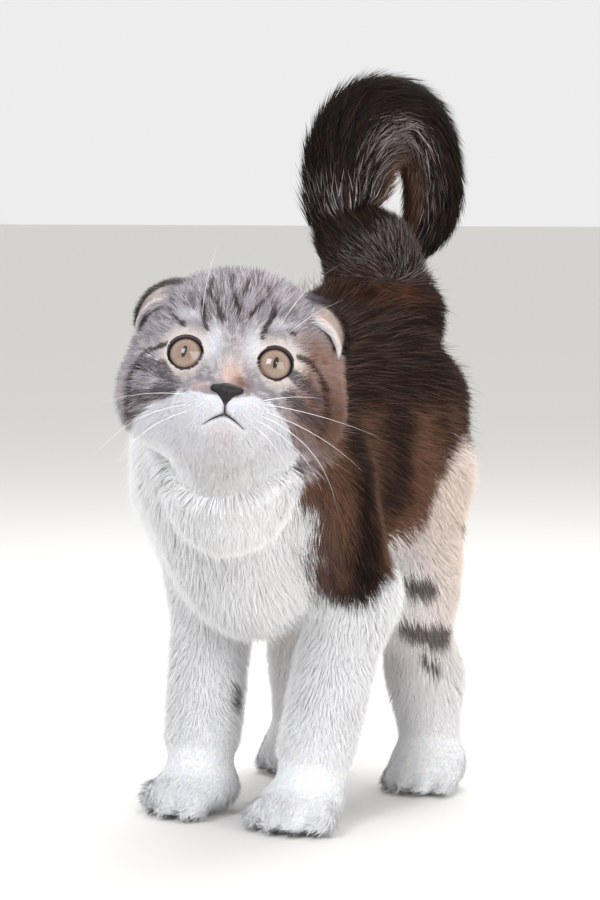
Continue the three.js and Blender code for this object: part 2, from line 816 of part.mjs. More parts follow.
function ball(middle, radius, sides) {
  const geometry = new THREE.SphereGeometry(radius, sides, Math.round(sides * 0.6));
  geometry.rotateX(Math.PI / 2);
  geometry.translate(...middle);
  geometry.applyMatrix4(headFrame);
  return solidOf(geometry);
}

// The outline of the open lids on the eye, as directions from the eye's middle
function lidPlace(side, turn, radius) {
  const { wide, high } = LID;
  const out = EYE.splay * DEGREE * side;
  const x = (Math.cos(turn) * wide) / EYE.radius;
  const z = (Math.sin(turn) * high) / EYE.radius;
  const y = -Math.sqrt(Math.max(1 - x * x - z * z, 0));
  const way = [x * Math.cos(out) - y * Math.sin(out), x * Math.sin(out) + y * Math.cos(out), z];
  return add(mirrored(EYE.middle, side), scale(way, radius));
}

function makeHead() {
  let head = keep(headNet(), [nape]);
  const clear = headNet(GAP);
  let cutters = mouthGroove();
  for (const [name, side] of Object.entries(SIDES)) {
    const middle = mirrored(EYE.middle, side);
    const turns = spaced(0, 2 * Math.PI, (2 * Math.PI) / 18).slice(0, -1);
    const rim = turns.map((turn) => fromHead(lidPlace(side, turn, EYE.radius + 0.7)));
    head = head.add(rope(rim, rim.map(() => LID.thick), 6, true));
    cutters = cutters.add(ball(middle, EYE.radius + GAP, 14));
    solids.set("eye_" + name, ball(middle, EYE.radius, 14));
    solids.set("ear_" + name, earFlap(side).subtract(clear));
    solids.set("nose", noseForm().subtract(nostril(1)).subtract(nostril(-1)));
  }
  solids.set("head", head.subtract(cutters).subtract(noseForm(GAP)));
}

// The line of the mouth: down from the nose, then out and down under each whisker pad
function mouthGroove() {
  const { top, corner, line } = MOUTH;
  const sunk = (x, z) => fromHead([x, faceAt(x, z), z]);
  const cleft = [NOSE.height - 2, (NOSE.height + top) / 2, top - 0.3].map((z) => sunk(0, z));
  let groove = rope(cleft, [line, line, line], 6, false);
  for (const side of Object.values(SIDES)) {
    const places = spaced(0, 1, 1 / 7).map((t) =>
      sunk(side * corner[0] * t, top + (corner[1] - top) * t ** 1.4),
    );
    groove = groove.add(rope(places, places.map(() => line), 6, false));
  }
  return groove;
}

// The bare nose: a rounded wedge, wide above and narrow below
function noseForm(more = 0) {
  const { height, wide, high, deep, proud, lean } = NOSE;
  const outline = new THREE.Shape();
  const w = wide / 2 + more;
  const h = high / 2 + more;
  outline.moveTo(0, -h);
  outline.quadraticCurveTo(w * 0.35, -h * 0.5, w * 0.55, -h * 0.1);
  outline.quadraticCurveTo(w * 1.15, h * 0.25, w * 0.85, h * 0.8);
  outline.quadraticCurveTo(w * 0.5, h * 1.05, 0, h * 0.9);
  outline.quadraticCurveTo(-w * 0.5, h * 1.05, -w * 0.85, h * 0.8);
  outline.quadraticCurveTo(-w * 1.15, h * 0.25, -w * 0.55, -h * 0.1);
  outline.quadraticCurveTo(-w * 0.35, -h * 0.5, 0, -h);
  const geometry = new THREE.ExtrudeGeometry(outline, {
    depth: deep + more,
    curveSegments: 3,
    bevelThickness: 1.4,
    bevelSize: 1.2,
    bevelOffset: -1.2,
    bevelSegments: 1,
  });
  geometry.translate(0, 0, -deep);
  geometry.rotateX(Math.PI / 2 - lean * DEGREE);
  geometry.translate(0, faceAt(0, height) - proud + 1.4, height);
  geometry.applyMatrix4(headFrame);
  return solidOf(geometry);
}

// A slanting hollow on one side of the nose
function nostril(side) {
  const { apart, radii } = NOSTRIL;
  const geometry = new THREE.SphereGeometry(1, 8, 5);
  geometry.scale(...radii);
  geometry.rotateY(side * 30 * DEGREE);
  geometry.translate(side * apart, faceAt(0, NOSE.height) - NOSE.proud + 0.4, NOSE.height - 0.6);
  geometry.applyMatrix4(headFrame);
  return solidOf(geometry);
}

// An ear: a bent flap that rises from its hinge, folds over and hangs forward over a hollow
function earFlap(side) {
  const [across, down] = EAR.cells;
  const rise = (u, v) => {
    const bend = v < 0.3 ? Math.sin((v / 0.3) * (Math.PI / 2)) : 1;
    const hang = EAR.rise + (EAR.edge_rise - EAR.rise) * clamp((v - 0.3) / 0.7, 0, 1);
    const sides = 0.5 + 0.5 * Math.sqrt(Math.max(Math.sin(Math.PI * u), 0));
    return -1 + (hang + 1) * bend * sides;
  };
  const sheets = [0, EAR.thick].map((under) =>
    spaced(0, 1, 1 / down).flatMap((v) =>
      spaced(0, 1, 1 / across).map((u) => {
        const edge = mix(EAR.brow, EAR.tip, u);
        const hinge = mix(EAR.front, EAR.back, u);
        return fromHead(mirrored(overSkull(mix(hinge, edge, v), rise(u, v) - under), side));
      }),
    ),
  );
  const wide = across + 1;
  const count = wide * (down + 1);
  const triangles = [];
  const quad = (a, b, c, d) =>
    side > 0 ? triangles.push(a, b, c, a, c, d) : triangles.push(a, c, b, a, d, c);
  for (let j = 0; j < down; j++)
    for (let i = 0; i < across; i++) {
      const a = j * wide + i;
      quad(a, a + wide, a + wide + 1, a + 1);
      quad(count + a, count + a + 1, count + a + wide + 1, count + a + wide);
    }
  for (let i = 0; i < across; i++) {
    const end = down * wide + i;
    quad(i, i + 1, count + i + 1, count + i);
    quad(end + 1, end, count + end, count + end + 1);
  }
  for (let j = 0; j < down; j++) {
    const [a, b] = [j * wide, j * wide + across];
    quad(a + wide, a, count + a, count + a + wide);
    quad(b, b + wide, count + b + wide, count + b);
  }
  return closed(sheets.flat(), triangles);
}

makeTrunk();
makeNeck();
makeLegs();
makeTail();
makeHead();

// The finished group

const coat = (colour) => new THREE.MeshStandardMaterial({ color: colour, roughness: 0.9 });
const finish = {
  trunk: coat("#4a3a32"),
  neck: coat("#cfc6c0"),
  head: coat("#a79d98"),
  nose: new THREE.MeshStandardMaterial({ color: "#242021", roughness: 0.5 }),
  eye: new THREE.MeshStandardMaterial({ color: "#9c8a6c", roughness: 0.08 }),
  tail: coat("#2b2523"),
  leg: coat("#e6e3e2"),
};
const finishOf = (name) => {
  const key = Object.keys(finish).find((word) => name.startsWith(word));
  return finish[key ?? "leg"];
};

function geometryOf(solid) {
  const mesh = solid.getMesh();
  const places = new Float32Array(mesh.numVert * 3);
  for (let n = 0; n < mesh.numVert; n++)
    places.set(mesh.vertProperties.subarray(n * mesh.numProp, n * mesh.numProp + 3), n * 3);
  const geometry = new THREE.BufferGeometry();
  geometry.setAttribute("position", new THREE.BufferAttribute(places, 3));
  geometry.setIndex(new THREE.BufferAttribute(mesh.triVerts, 1));
  geometry.computeVertexNormals();
  return geometry;
}

const kitten = new THREE.Group();
for (const [name, solid] of solids) {
  const shortest = SHORTEST[/^(eye|nose|head)/.test(name) ? "face" : /^tail/.test(name) ? "locks" : "body"];
  const mesh = new THREE.Mesh(geometryOf(tidied(largest(solid), shortest)), finishOf(name));
  mesh.name = name;
  kitten.add(mesh);
}

// The origin goes to the floor below the middle of the whole kitten
const extent = new THREE.Box3().setFromObject(kitten);
const centre = extent.getCenter(new THREE.Vector3());
kitten.position.set(-centre.x, -centre.y, -extent.min.z);

export default kitten;
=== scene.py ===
# A Scottish Fold kitten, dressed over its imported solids. One skin replaces the nodes of flesh, and
# the coat lies over it in thin tufts. All sizes below are in millimetres in the part's own design
# frame: x to the kitten's left, y backwards, z up.

import math

import bpy
import numpy as np
from mathutils import Matrix, Vector


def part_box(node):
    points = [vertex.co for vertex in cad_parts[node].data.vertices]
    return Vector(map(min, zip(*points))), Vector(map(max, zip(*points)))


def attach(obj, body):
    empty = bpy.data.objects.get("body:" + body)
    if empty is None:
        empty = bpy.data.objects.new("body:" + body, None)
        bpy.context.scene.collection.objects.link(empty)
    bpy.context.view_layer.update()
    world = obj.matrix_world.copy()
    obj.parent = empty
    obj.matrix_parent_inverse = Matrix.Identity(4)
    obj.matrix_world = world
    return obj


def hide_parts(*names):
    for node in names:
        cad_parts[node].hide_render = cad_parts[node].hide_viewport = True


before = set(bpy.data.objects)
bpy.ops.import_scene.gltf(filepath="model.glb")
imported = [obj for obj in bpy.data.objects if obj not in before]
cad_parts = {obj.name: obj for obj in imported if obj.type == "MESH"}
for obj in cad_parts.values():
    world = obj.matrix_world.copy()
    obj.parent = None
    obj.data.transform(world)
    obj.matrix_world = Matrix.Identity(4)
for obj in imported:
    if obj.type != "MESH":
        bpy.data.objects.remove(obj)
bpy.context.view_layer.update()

SIDES = {"left": 1, "right": -1}
DRAW = np.random.default_rng(20)

# Driving sizes, as in the part's source

HEAD = {"middle": (31, -83, 177.5), "turn": 33, "lift": 19, "tip": 7.3}
SKULL = {"middle": (0, 2, 5), "radii": (38, 37, 32)}
CHEEK = {"middle": (18, -7, -13), "radii": (22.5, 24, 20), "soft": 14}
BROW = {"middle": (15, -19, 9), "radii": (15, 13.5, 12), "soft": 8}
EYE = {"middle": (14.7, -24, -3), "radius": 9, "splay": 8, "moved": (-0.6, 0, -0.8)}
SOCKET = {"middle": (15.2, -36, -3.5), "radii": (10.5, 6.5, 9.5), "soft": 6}
LID = {"wide": 6.5, "high": 5.8, "over": 0.75}
BRIDGE = {"from": (0, -22, -3), "to": (0, -37, -15.5), "thick": (12, 6.5), "soft": 9}
PAD = {"middle": (7, -33.5, -23), "radii": (11, 11, 8.5), "soft": 6}
CHIN = {"middle": (0, -29.5, -31.5), "radii": (9, 8.5, 6.5), "soft": 9}
# The ruff fills the throat from the chin down to the chest
THROAT = {"from": (0, -14, -27), "to": (2, 20, -38), "thick": (14, 24)}
NOSE = {"height": -19.6, "aside": 0.5, "lean": 22}
MOUTH = {"top": -26.8, "aside": 0.8, "corner": (7.2, -30.6), "line": 0.6}
EAR = {
    "front": (18, -2, 35),
    "back": (39, 13, 14),
    "brow": (23.5, -27.5, 12.5),
    "tip": (42.5, -8, 10),
    "thick": 1.2,
    "rise": 3.9,
    "edge_rise": {1: 0.8, -1: 1.0},
    "hinge_sunk": 5.5,
    "free": 0.9,
    "crest": {1: 0.33, -1: 0.27},
}
CHEST = {"middle": (0, -22, 132.5), "radii": (38, 48, 62)}
BELLY = {"middle": (0, 22, 141), "radii": (37, 50, 60)}
RUMP = {"middle": (0, 60, 156), "radii": (39.5, 43, 50.5)}
NECK = {"from": (1, -38, 148), "to": (25, -70, 170), "thick": (37, 34)}
LEGS = {
    "fore": {
        "places": ((29, -26, 128), (32, -5, 88), (27, -21.5, 30)),
        "radii": (23, 18, 15.8),
        "soft": 10,
    },
    "hind": {
        "places": ((20, 57, 126), (27, 43, 88), (28.8, 58.5, 46), (31.5, 57.5, 16)),
        "radii": (28.5, 20.5, 13.5, 13.5),
        "soft": 14,
    },
}
PAW = {"half_wide": 17.5, "half_long": 18.5, "high": 12, "sunk": 1.8, "toe": 7}
FEET = {
    "fore_left": ((25.5, -30), 8, 1),
    "fore_right": ((-23.5, -30), -24, 1),
    "hind_left": ((32, 53.5), 10, 0.86),
    "hind_right": ((-30, 56), 0, 0.86),
}
TAIL = {
    "middle": (2, 71.5, 243.5),
    "half_wide": 19.2,
    "half_high": 31,
    "heading": 34,
    "from": -66,
    "to": 246,
    "drift": 24,
    "thick": (17, 16.5, 17, 18.5, 16, 13, 12, 3),
    "steps": 24,
}
# How deep the coat lies over the skin
DEPTH = {
    "trunk": 5,
    "neck": 5.5,
    "throat": 4,
    "leg": 3,
    "paw": 1.2,
    "face": 0.7,
    "cheek": 4.2,
    "ear": 1.1,
}
# How softly each form runs into the rest of the body
SOFT = {"trunk": 25, "neck": 20, "head": 8, "throat": 18, "leg": 12, "tail": 6}
# The head's net and the body's end on planes in the head's frame, each inside the other
SEAM = {"way": (0.25, 0.8, -0.5), "head_end": 24, "body_end": 20, "reach": 75}

FLESH = [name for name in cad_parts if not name.startswith(("eye", "nose"))]


# Frames


def turned(axis, degrees):
    """A rotation about axis 0, 1 or 2 as a matrix for columns."""
    angle = math.radians(degrees)
    matrix = np.eye(3)
    i, j = [(1, 2), (2, 0), (0, 1)][axis]
    matrix[i, i] = math.cos(angle)
    matrix[j, j] = math.cos(angle)
    matrix[i, j] = -math.sin(angle)
    matrix[j, i] = math.sin(angle)
    return matrix


HEAD_TURN = turned(2, HEAD["turn"]) @ turned(0, -HEAD["lift"]) @ turned(1, HEAD["tip"])


def from_head(q):
    return np.asarray(q, float) @ HEAD_TURN.T + HEAD["middle"]


def to_head(p):
    return (np.asarray(p) - HEAD["middle"]) @ HEAD_TURN


def mirrored(place, side):
    return (place[0] * side, place[1], place[2])


def design_shift():
    """Where the design frame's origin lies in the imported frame, read from the two eyeballs."""
    found = []
    for name, side in SIDES.items():
        low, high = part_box("eye_" + name)
        middle = (np.array(low) + np.array(high)) * 500
        found.append(middle - from_head(mirrored(EYE["middle"], side)))
    shift = np.mean(found, 0)
    shift[2] = 0
    return shift


SHIFT = design_shift()


def placed(points):
    """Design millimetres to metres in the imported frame."""
    return (np.asarray(points, float) + SHIFT) / 1000


# Distance functions


def unit(v):
    return v / np.maximum(np.linalg.norm(v, axis=-1, keepdims=True), 1e-9)


def ellipsoid(p, middle, radii):
    x, y, z = ((p[..., i] - middle[i]) / radii[i] for i in range(3))
    near = np.maximum(np.sqrt(x * x + y * y + z * z), 1e-3)
    slope = np.sqrt((x / radii[0]) ** 2 + (y / radii[1]) ** 2 + (z / radii[2]) ** 2)
    return near * (near - 1) / np.maximum(slope, 1e-3 / max(radii))


def bar(p, a, b, ra, rb):
    way = np.subtract(b, a).astype(float)
    x, y, z = (p[..., i] - a[i] for i in range(3))
    t = np.clip((x * way[0] + y * way[1] + z * way[2]) / (way @ way), 0, 1)
    far = (x - way[0] * t) ** 2 + (y - way[1] * t) ** 2 + (z - way[2] * t) ** 2
    return np.sqrt(far) - (ra + (rb - ra) * t)


def join(a, b, soft):
    h = np.maximum(soft - np.abs(a - b), 0) / soft
    return np.minimum(a, b) - h * h * soft / 4


def cut(a, b, soft):
    return -join(-a, b, soft)


def chain(p, places, radii, soft):
    d = None
    for a, b, ra, rb in zip(places, places[1:], radii, radii[1:]):
        piece = bar(p, a, b, ra, rb)
        d = piece if d is None else join(d, piece, soft)
    return d


def smooth(low, high, v):
    t = np.clip((v - low) / (high - low), 0, 1)
    return t * t * (3 - 2 * t)


def spot(q, middle, radii, start=0.4, end=1.2):
    """1 inside a round patch, fading out."""
    far = np.linalg.norm((q - np.array(middle, float)) / radii, axis=-1)
    return 1 - smooth(start, end, far)


def round_form(p, part, side=1):
    return ellipsoid(p, mirrored(part["middle"], side), part["radii"])


def bar_form(p, part):
    return bar(p, part["from"], part["to"], *part["thick"])


def head_form(q):
    """The outside of the head's coat, in the head's frame."""
    d = round_form(q, SKULL)
    for side in SIDES.values():
        for part in (CHEEK, BROW):
            d = join(d, round_form(q, part, side), part["soft"])
    for side in SIDES.values():
        d = cut(d, round_form(q, SOCKET, side), SOCKET["soft"])
    d = join(d, bar_form(q, BRIDGE), BRIDGE["soft"])
    for side in SIDES.values():
        d = join(d, round_form(q, PAD, side), PAD["soft"])
    return join(d, round_form(q, CHIN), CHIN["soft"])


def head_depth(q):
    """How deep the coat lies over the head: thin round the eyes and the nose, deep at the cheeks."""
    thick = smooth(16, 50, np.linalg.norm(q - (0, -44, -20), axis=-1))
    for side in SIDES.values():
        eye = np.linalg.norm(q - mirrored(EYE["middle"], side), axis=-1)
        thick = thick * smooth(8, 30, eye)
    return DEPTH["face"] + (DEPTH["cheek"] - DEPTH["face"]) * thick


def trunk_form(p):
    d = join(round_form(p, CHEST), round_form(p, BELLY), SOFT["trunk"])
    return join(d, round_form(p, RUMP), SOFT["trunk"])


def paw_form(p, foot, soft=2.5):
    """A paw with its four toes, turned on the floor as it stands."""
    place, turn, size = FEET[foot]
    turn = math.radians(turn)
    x, y = p[..., 0] - place[0], p[..., 1] - place[1]
    across = x * math.cos(turn) + y * math.sin(turn)
    along = -x * math.sin(turn) + y * math.cos(turn)
    q = np.stack([across, along, p[..., 2] + PAW["sunk"]], -1)
    wide, long, high, toe = (PAW[k] * size for k in ("half_wide", "half_long", "high", "toe"))
    d = ellipsoid(q, (0, 0, high), (wide, long, high))
    for place in (-1.5, -0.5, 0.5, 1.5):
        reach = 0.72 if abs(place) < 1 else 0.5
        middle = (place * wide * 0.52, -long * reach, toe * 1.1)
        d = join(d, ellipsoid(q, middle, (toe * 0.95, toe * 1.2, toe * 1.1)), soft)
    return d


def leg_form(p, pair, name, depth=0, paw_depth=0):
    """One leg. The depths bring it from the coat's outside in to the skin."""
    leg = LEGS[pair]
    places = [mirrored(place, SIDES[name]) for place in leg["places"]]
    limb = chain(p, places, leg["radii"], leg["soft"])
    limb = limb + depth * (0.35 + 0.65 * smooth(14, 62, p[..., 2]))
    paw = paw_form(p, pair + "_" + name, 2.5 + paw_depth * 2)
    return join(limb, paw + paw_depth, 6 + depth * 3)


def tail_place(t):
    """The middle of the tail: part of a loop that drifts sideways, from its root, 0, to its tip, 1."""
    t = np.asarray(t, float)
    angle = np.radians(TAIL["from"] + (TAIL["to"] - TAIL["from"]) * t)
    heading = math.radians(TAIL["heading"])
    across = -np.cos(angle) * TAIL["half_wide"]
    away = (t - 0.5) * TAIL["drift"]
    x = across * math.cos(heading) - away * math.sin(heading)
    y = across * math.sin(heading) + away * math.cos(heading)
    z = np.sin(angle) * TAIL["half_high"]
    return np.stack([x, y, z], -1) + TAIL["middle"]


def tail_thick(t):
    return np.interp(t, np.linspace(0, 1, len(TAIL["thick"])), TAIL["thick"])


STATIONS = np.linspace(0, 1, TAIL["steps"] + 1)
TAIL_BASE = ((2.5, 57, 217), (5, 63, 194), 14.5, 21)


def tail_form(p):
    return chain(p, tail_place(STATIONS), tail_thick(STATIONS), 3)


def tail_core(p):
    """The tail under its long coat, as thick as half the coat past its root."""
    stations = STATIONS[STATIONS < 0.95]
    share = 1 - 0.5 * smooth(0.0, 0.16, stations)
    core = chain(p, tail_place(stations), tail_thick(stations) * share - 1.5, 3)
    return join(core, bar(p, *TAIL_BASE), 10)


def slimmed(p):
    """How far the coat stays inside the solids, over the rump's upper sides and the paws."""
    slim = 1.2 * (1 - smooth(18, 30, p[..., 2]))
    for side in SIDES.values():
        slim = slim + 6 * spot(p, (side * 31, 82, 189), (20, 27, 23), 0.3, 1.3)
    return slim


def body_form(p):
    """The outside of the coat."""
    q = to_head(p)
    d = join(trunk_form(p), bar_form(p, NECK), SOFT["neck"])
    d = join(d, head_form(q), SOFT["head"])
    d = join(d, bar_form(q, THROAT), SOFT["throat"])
    for pair in LEGS:
        for name in SIDES:
            d = join(d, leg_form(p, pair, name), SOFT["leg"])
    return join(d, tail_form(p), SOFT["tail"])


def flesh_form(p):
    """The skin under the coat."""
    q = to_head(p)
    slim = slimmed(p)
    d = join(trunk_form(p) + DEPTH["trunk"] + slim, bar_form(p, NECK) + DEPTH["neck"], SOFT["neck"])
    d = join(d, head_form(q) + head_depth(q), SOFT["head"])
    d = join(d, bar_form(q, THROAT) + DEPTH["throat"], SOFT["throat"])
    for pair in LEGS:
        for name in SIDES:
            limb = leg_form(p, pair, name, DEPTH["leg"], DEPTH["paw"]) + slim
            d = join(d, limb, SOFT["leg"])
    d = join(d, tail_core(p), 2 * SOFT["tail"])
    # The soles are cut off just above the floor
    return np.maximum(d, 0.4 - p[..., 2])


# Where things lie on the face


def face_at(x, z, distance=head_form):
    """The skin straight behind a place in front of the face, in the head's frame."""
    x, z = np.broadcast_arrays(np.asarray(x, float), np.asarray(z, float))
    out, within = np.full(x.shape, -75.0), np.full(x.shape, -10.0)
    for _ in range(26):
        y = (out + within) / 2
        inside = distance(np.stack([x, y, z], -1)) < 0
        within = np.where(inside, y, within)
        out = np.where(inside, out, y)
    return within


def over_skull(q, lift, distance=head_form):
    """The skin on the way out from the head's middle through a place, and lifted off it."""
    way = unit(q - np.array(SKULL["middle"], float))
    within, out = np.full(q.shape[:-1], 5.0), np.full(q.shape[:-1], 90.0)
    for _ in range(26):
        far = (out + within) / 2
        inside = distance(SKULL["middle"] + way * far[..., None]) < 0
        within = np.where(inside, far, within)
        out = np.where(inside, out, far)
    return SKULL["middle"] + way * (within + lift)[..., None]


def skin_of_head(q):
    """The skin of the head alone, without its lids."""
    return head_form(q) + head_depth(q)


def eye_frame(side):
    """The eyeball's middle and its axes as columns: across, out of the head and up."""
    splay = math.radians(EYE["splay"]) * side
    axes = np.eye(3)
    axes[0, 0] = axes[1, 1] = math.cos(splay)
    axes[0, 1] = -math.sin(splay)
    axes[1, 0] = math.sin(splay)
    return np.add(mirrored(EYE["middle"], side), EYE["moved"]), axes


def lid_places(side, turns, radius):
    """The edge of the open lids, as a ring round the eyeball."""
    middle, axes = eye_frame(side)
    x = np.cos(turns) * LID["wide"] / EYE["radius"]
    z = np.sin(turns) * LID["high"] / EYE["radius"]
    # The inner corner is drawn out towards the nose and down
    inner = np.clip(-(np.cos(turns) * side * 0.94 + np.sin(turns) * 0.34), 0, 1) ** 10
    x = x - side * inner * 1.0 / EYE["radius"]
    z = z - inner * 2.0 / EYE["radius"]
    y = -np.sqrt(np.maximum(1 - x * x - z * z, 0))
    return middle + np.stack([x, y, z], -1) @ axes.T * radius


def lids_and_openings(q, d):
    """Lays a lid over each eyeball and opens it."""
    for side in SIDES.values():
        middle, axes = eye_frame(side)
        r = (q - middle) @ axes
        ball = np.linalg.norm(r, axis=-1) - EYE["radius"] - LID["over"]
        d = join(d, ball, 2.5)
        ring = np.sqrt((r[..., 0] / LID["wide"]) ** 2 + (r[..., 2] / LID["high"]) ** 2)
        opening = np.maximum((ring - 1) * LID["high"], r[..., 1] + 2)
        d = cut(d, opening, 0.5)
    return d


def mouth_path(side):
    """The line of the mouth on one side, from the middle to the corner."""
    t = np.linspace(0, 1, 15)
    top, (wide, low) = MOUTH["top"], MOUTH["corner"]
    x = side * wide * t + MOUTH["aside"]
    z = top + (low - top) * t**1.25
    return np.stack([x, face_at(x, z, skin_of_head), z], -1)


def cleft_path():
    """The cleft from the nose down to the mouth."""
    z = np.linspace(NOSE["height"] - 3, MOUTH["top"], 8)
    x = np.linspace(NOSE["aside"], MOUTH["aside"], 8)
    return np.stack([x, face_at(x, z, skin_of_head), z], -1)


MOUTH_PATHS = [mouth_path(1), mouth_path(-1), cleft_path()]


def face_form(q):
    """The skin of the head with its lids, mouth line and the seat of the nose."""
    d = flesh_form(from_head(q))
    d = lids_and_openings(q, d)
    for path in MOUTH_PATHS:
        wide = np.linspace(MOUTH["line"], 0.1 if path is not MOUTH_PATHS[2] else 0.5, len(path))
        d = cut(d, chain(q, path, wide, 0.3), 0.9)
    return d


# Nets


def net(distance, walls):
    """Corners and quads of the zero surface of a distance function on a grid with these walls."""
    walls = [np.asarray(w, float) for w in walls]
    count = np.array([len(w) for w in walls])
    grid = np.stack(np.meshgrid(*walls, indexing="ij"), -1)
    value = np.concatenate([distance(slab) for slab in np.array_split(grid, 8)])
    for axis in range(3):
        for end in (0, -1):
            edge = [slice(None)] * 3
            edge[axis] = end
            value[tuple(edge)] = np.maximum(value[tuple(edge)], 0.01)
    cells = count - 1
    sums = np.zeros((cells.prod(), 3))
    uses = np.zeros(cells.prod())
    faces = []
    for axis in range(3):
        one, other = (axis + 1) % 3, (axis + 2) % 3
        low = np.moveaxis(value, axis, 0)[:-1]
        high = np.moveaxis(value, axis, 0)[1:]
        found = np.argwhere(np.moveaxis((low < 0) != (high < 0), 0, axis))
        va = value[tuple(found.T)]
        after = found.copy()
        after[:, axis] += 1
        vb = value[tuple(after.T)]
        share = va / (va - vb)
        crossing = np.stack([walls[m][found[:, m]] for m in range(3)], -1)
        step = walls[axis][after[:, axis]] - crossing[:, axis]
        crossing[:, axis] += step * share
        ring = []
        for u, v in ((0, 0), (1, 0), (1, 1), (0, 1)):
            cell = found.copy()
            cell[:, one] -= u
            cell[:, other] -= v
            place = (cell[:, 0] * cells[1] + cell[:, 1]) * cells[2] + cell[:, 2]
            ring.append(place)
            uses += np.bincount(place, minlength=len(uses))
            for m in range(3):
                sums[:, m] += np.bincount(place, crossing[:, m], minlength=len(uses))
        quads = np.stack(ring, -1)
        quads[va >= 0] = quads[va >= 0][:, ::-1]
        faces.append(quads)
    faces = np.concatenate(faces)
    number = np.cumsum(uses > 0) - 1
    corners = sums[uses > 0] / uses[uses > 0][:, None]
    return corners, number[faces]


def slope(distance, p, step=0.2):
    ways = np.eye(3) * step
    return np.stack([(distance(p + w) - distance(p - w)) / (2 * step) for w in ways], -1)


def settled(distance, corners, quads, rounds=3, reach=1.5):
    """Evens out the net and brings its corners onto the surface."""
    for _ in range(rounds):
        sums = np.zeros_like(corners)
        uses = np.zeros(len(corners))
        for n in range(4):
            start, end = quads[:, n], quads[:, (n + 1) % 4]
            uses += np.bincount(start, minlength=len(uses))
            for m in range(3):
                sums[:, m] += np.bincount(start, corners[end, m], minlength=len(uses))
        mean = sums / np.maximum(uses, 1)[:, None]
        corners = corners * 0.5 + mean * 0.5
        for _ in range(2):
            d = distance(corners)
            g = slope(distance, corners)
            move = g * (d / np.maximum((g * g).sum(-1), 0.25))[:, None]
            corners = corners - np.clip(move, -reach, reach)
    return corners


def spaced(*stretches):
    """Walls of a grid: each stretch is (from, to, cell)."""
    walls = []
    for low, high, cell in stretches:
        walls.append(np.linspace(low, high, math.ceil((high - low) / cell) + 1)[:-1])
    return np.concatenate([*walls, [stretches[-1][1]]])


def corner_normals(corners, faces):
    """The normal at each corner of a mesh of quads."""
    across = corners[faces[:, 2]] - corners[faces[:, 0]]
    normal = np.cross(across, corners[faces[:, 3]] - corners[faces[:, 1]])
    sums = np.zeros_like(corners)
    for n in range(4):
        for m in range(3):
            sums[:, m] += np.bincount(faces[:, n], normal[:, m], minlength=len(corners))
    return unit(sums)


# Colours


def linear(colour):
    """An sRGB hex colour as linear light."""
    value = np.array([int(colour[i : i + 2], 16) for i in (1, 3, 5)]) / 255
    return np.where(value <= 0.04045, value / 12.92, ((value + 0.055) / 1.055) ** 2.4)


# The white's faint blue tint is painted cool light on the white coat
WHITE = linear("#f8f9fc")
# A darker white for the front of the face: painted shade
SHADED_MUZZLE_WHITE = linear("#e1e1e7")
# A warm, darker white for white coat in shade: painted shade
SHADE_WARM_WHITE = linear("#e6d0c2")
LILAC = linear("#9e979d")
TICK = linear("#4c4346")
PALE = linear("#cbc2c2")
DARK = linear("#2b1c15")
BLACK = linear("#120d0b")
BROWN = linear("#64483a")
TAN = linear("#8c6551")
RED_BROWN = linear("#55301d")
PEACH = linear("#d0ac9b")
CREAM = linear("#d8ccc4")
RUST = linear("#8a5c42")
ASH = linear("#857d7b")
WISP = linear("#6b5447")

# Marks of the face as lines in the head's frame, with half their width
FACE_LINES = [
    ([(-11.4, -20, 29), (-10.6, -30, 20), (-8.5, -33, 16), (-6, -34, 13), (-4.8, -35, 9)], 0.45),
    ([(-13.8, -33, 16.5), (-11.8, -34, 9.6), (-10.2, -33, 5.4)], 0.5),
    ([(-4.6, -22, 29), (-1.7, -32, 17), (0.1, -34, 12)], 0.3),
    ([(1.8, -24.5, 27), (1.3, -30, 21)], 0.3),
    ([(8.4, -31, 19), (5.5, -34, 13.9), (3.8, -34.6, 10.8)], 0.4),
    ([(8.2, -23, 27.4), (9, -29, 21.6)], 0.5),
    ([(12.6, -33.4, 15), (10.6, -34.5, 8.8), (9.8, -33.5, 4.6)], 0.5),
    ([(-22, -32, 9), (-18.4, -32, 5.8)], 0.2),
    ([(18.1, -33, 8.3), (21.1, -32, 7.1)], 0.2),
    ([(-23.8, -29.6, -1.5), (-27, -29, -2.4), (-30.8, -26, -3.6), (-33.2, -25, -6.8)], 0.5),
    ([(-33.2, -25, -6.8), (-35, -23, -12), (-35.5, -20, -20), (-36, -14, -25)], 0.9),
    ([(23.4, -30, 0.4), (26, -29.4, -0.5), (28.5, -27.8, -1.9), (31.4, -26, -4.7)], 0.6),
    ([(31.4, -26, -4.7), (33.7, -24.7, -9.1), (35, -23, -15), (34, -18, -24)], 1.1),
    ([(-12, -12, 35), (-14, 10, 35)], 0.9),
    ([(-3, -12, 36), (-3, 12, 37)], 0.9),
    ([(6, -12, 36), (7, 10, 37)], 0.9),
]
# Softer bars across the cheeks
CHEEK_LINES = [
    ([(-30, -28, -9), (-24.5, -30.5, -9.4), (-20, -31.5, -14)], 0.6),
    ([(-34, -22, -19.5), (-26.6, -27.6, -19.5), (-21, -30.5, -17.5)], 1.0),
    ([(-34.4, -15.8, -25), (-28, -21.6, -25.5), (-24, -25.8, -24.5)], 0.8),
    ([(21.8, -31, -14.5), (25.7, -29, -17.5), (31.4, -23, -21)], 0.9),
    ([(22.5, -30, -6.6), (27.4, -29.6, -9.5), (31.4, -26.7, -13.6)], 0.6),
]
# Dark marks on the white legs
LEG_LINES = [
    ([(41, 22, 88), (47, 31, 86)], 2.0),
    ([(38, 31, 68), (45, 48, 64)], 3.0),
    ([(39, 41, 56), (41, 46, 51)], 0.5),
    ([(46, 62, 107), (45, 66, 100)], 1.4),
    ([(-12, -17, 46), (-12, -18, 43)], 0.7),
]
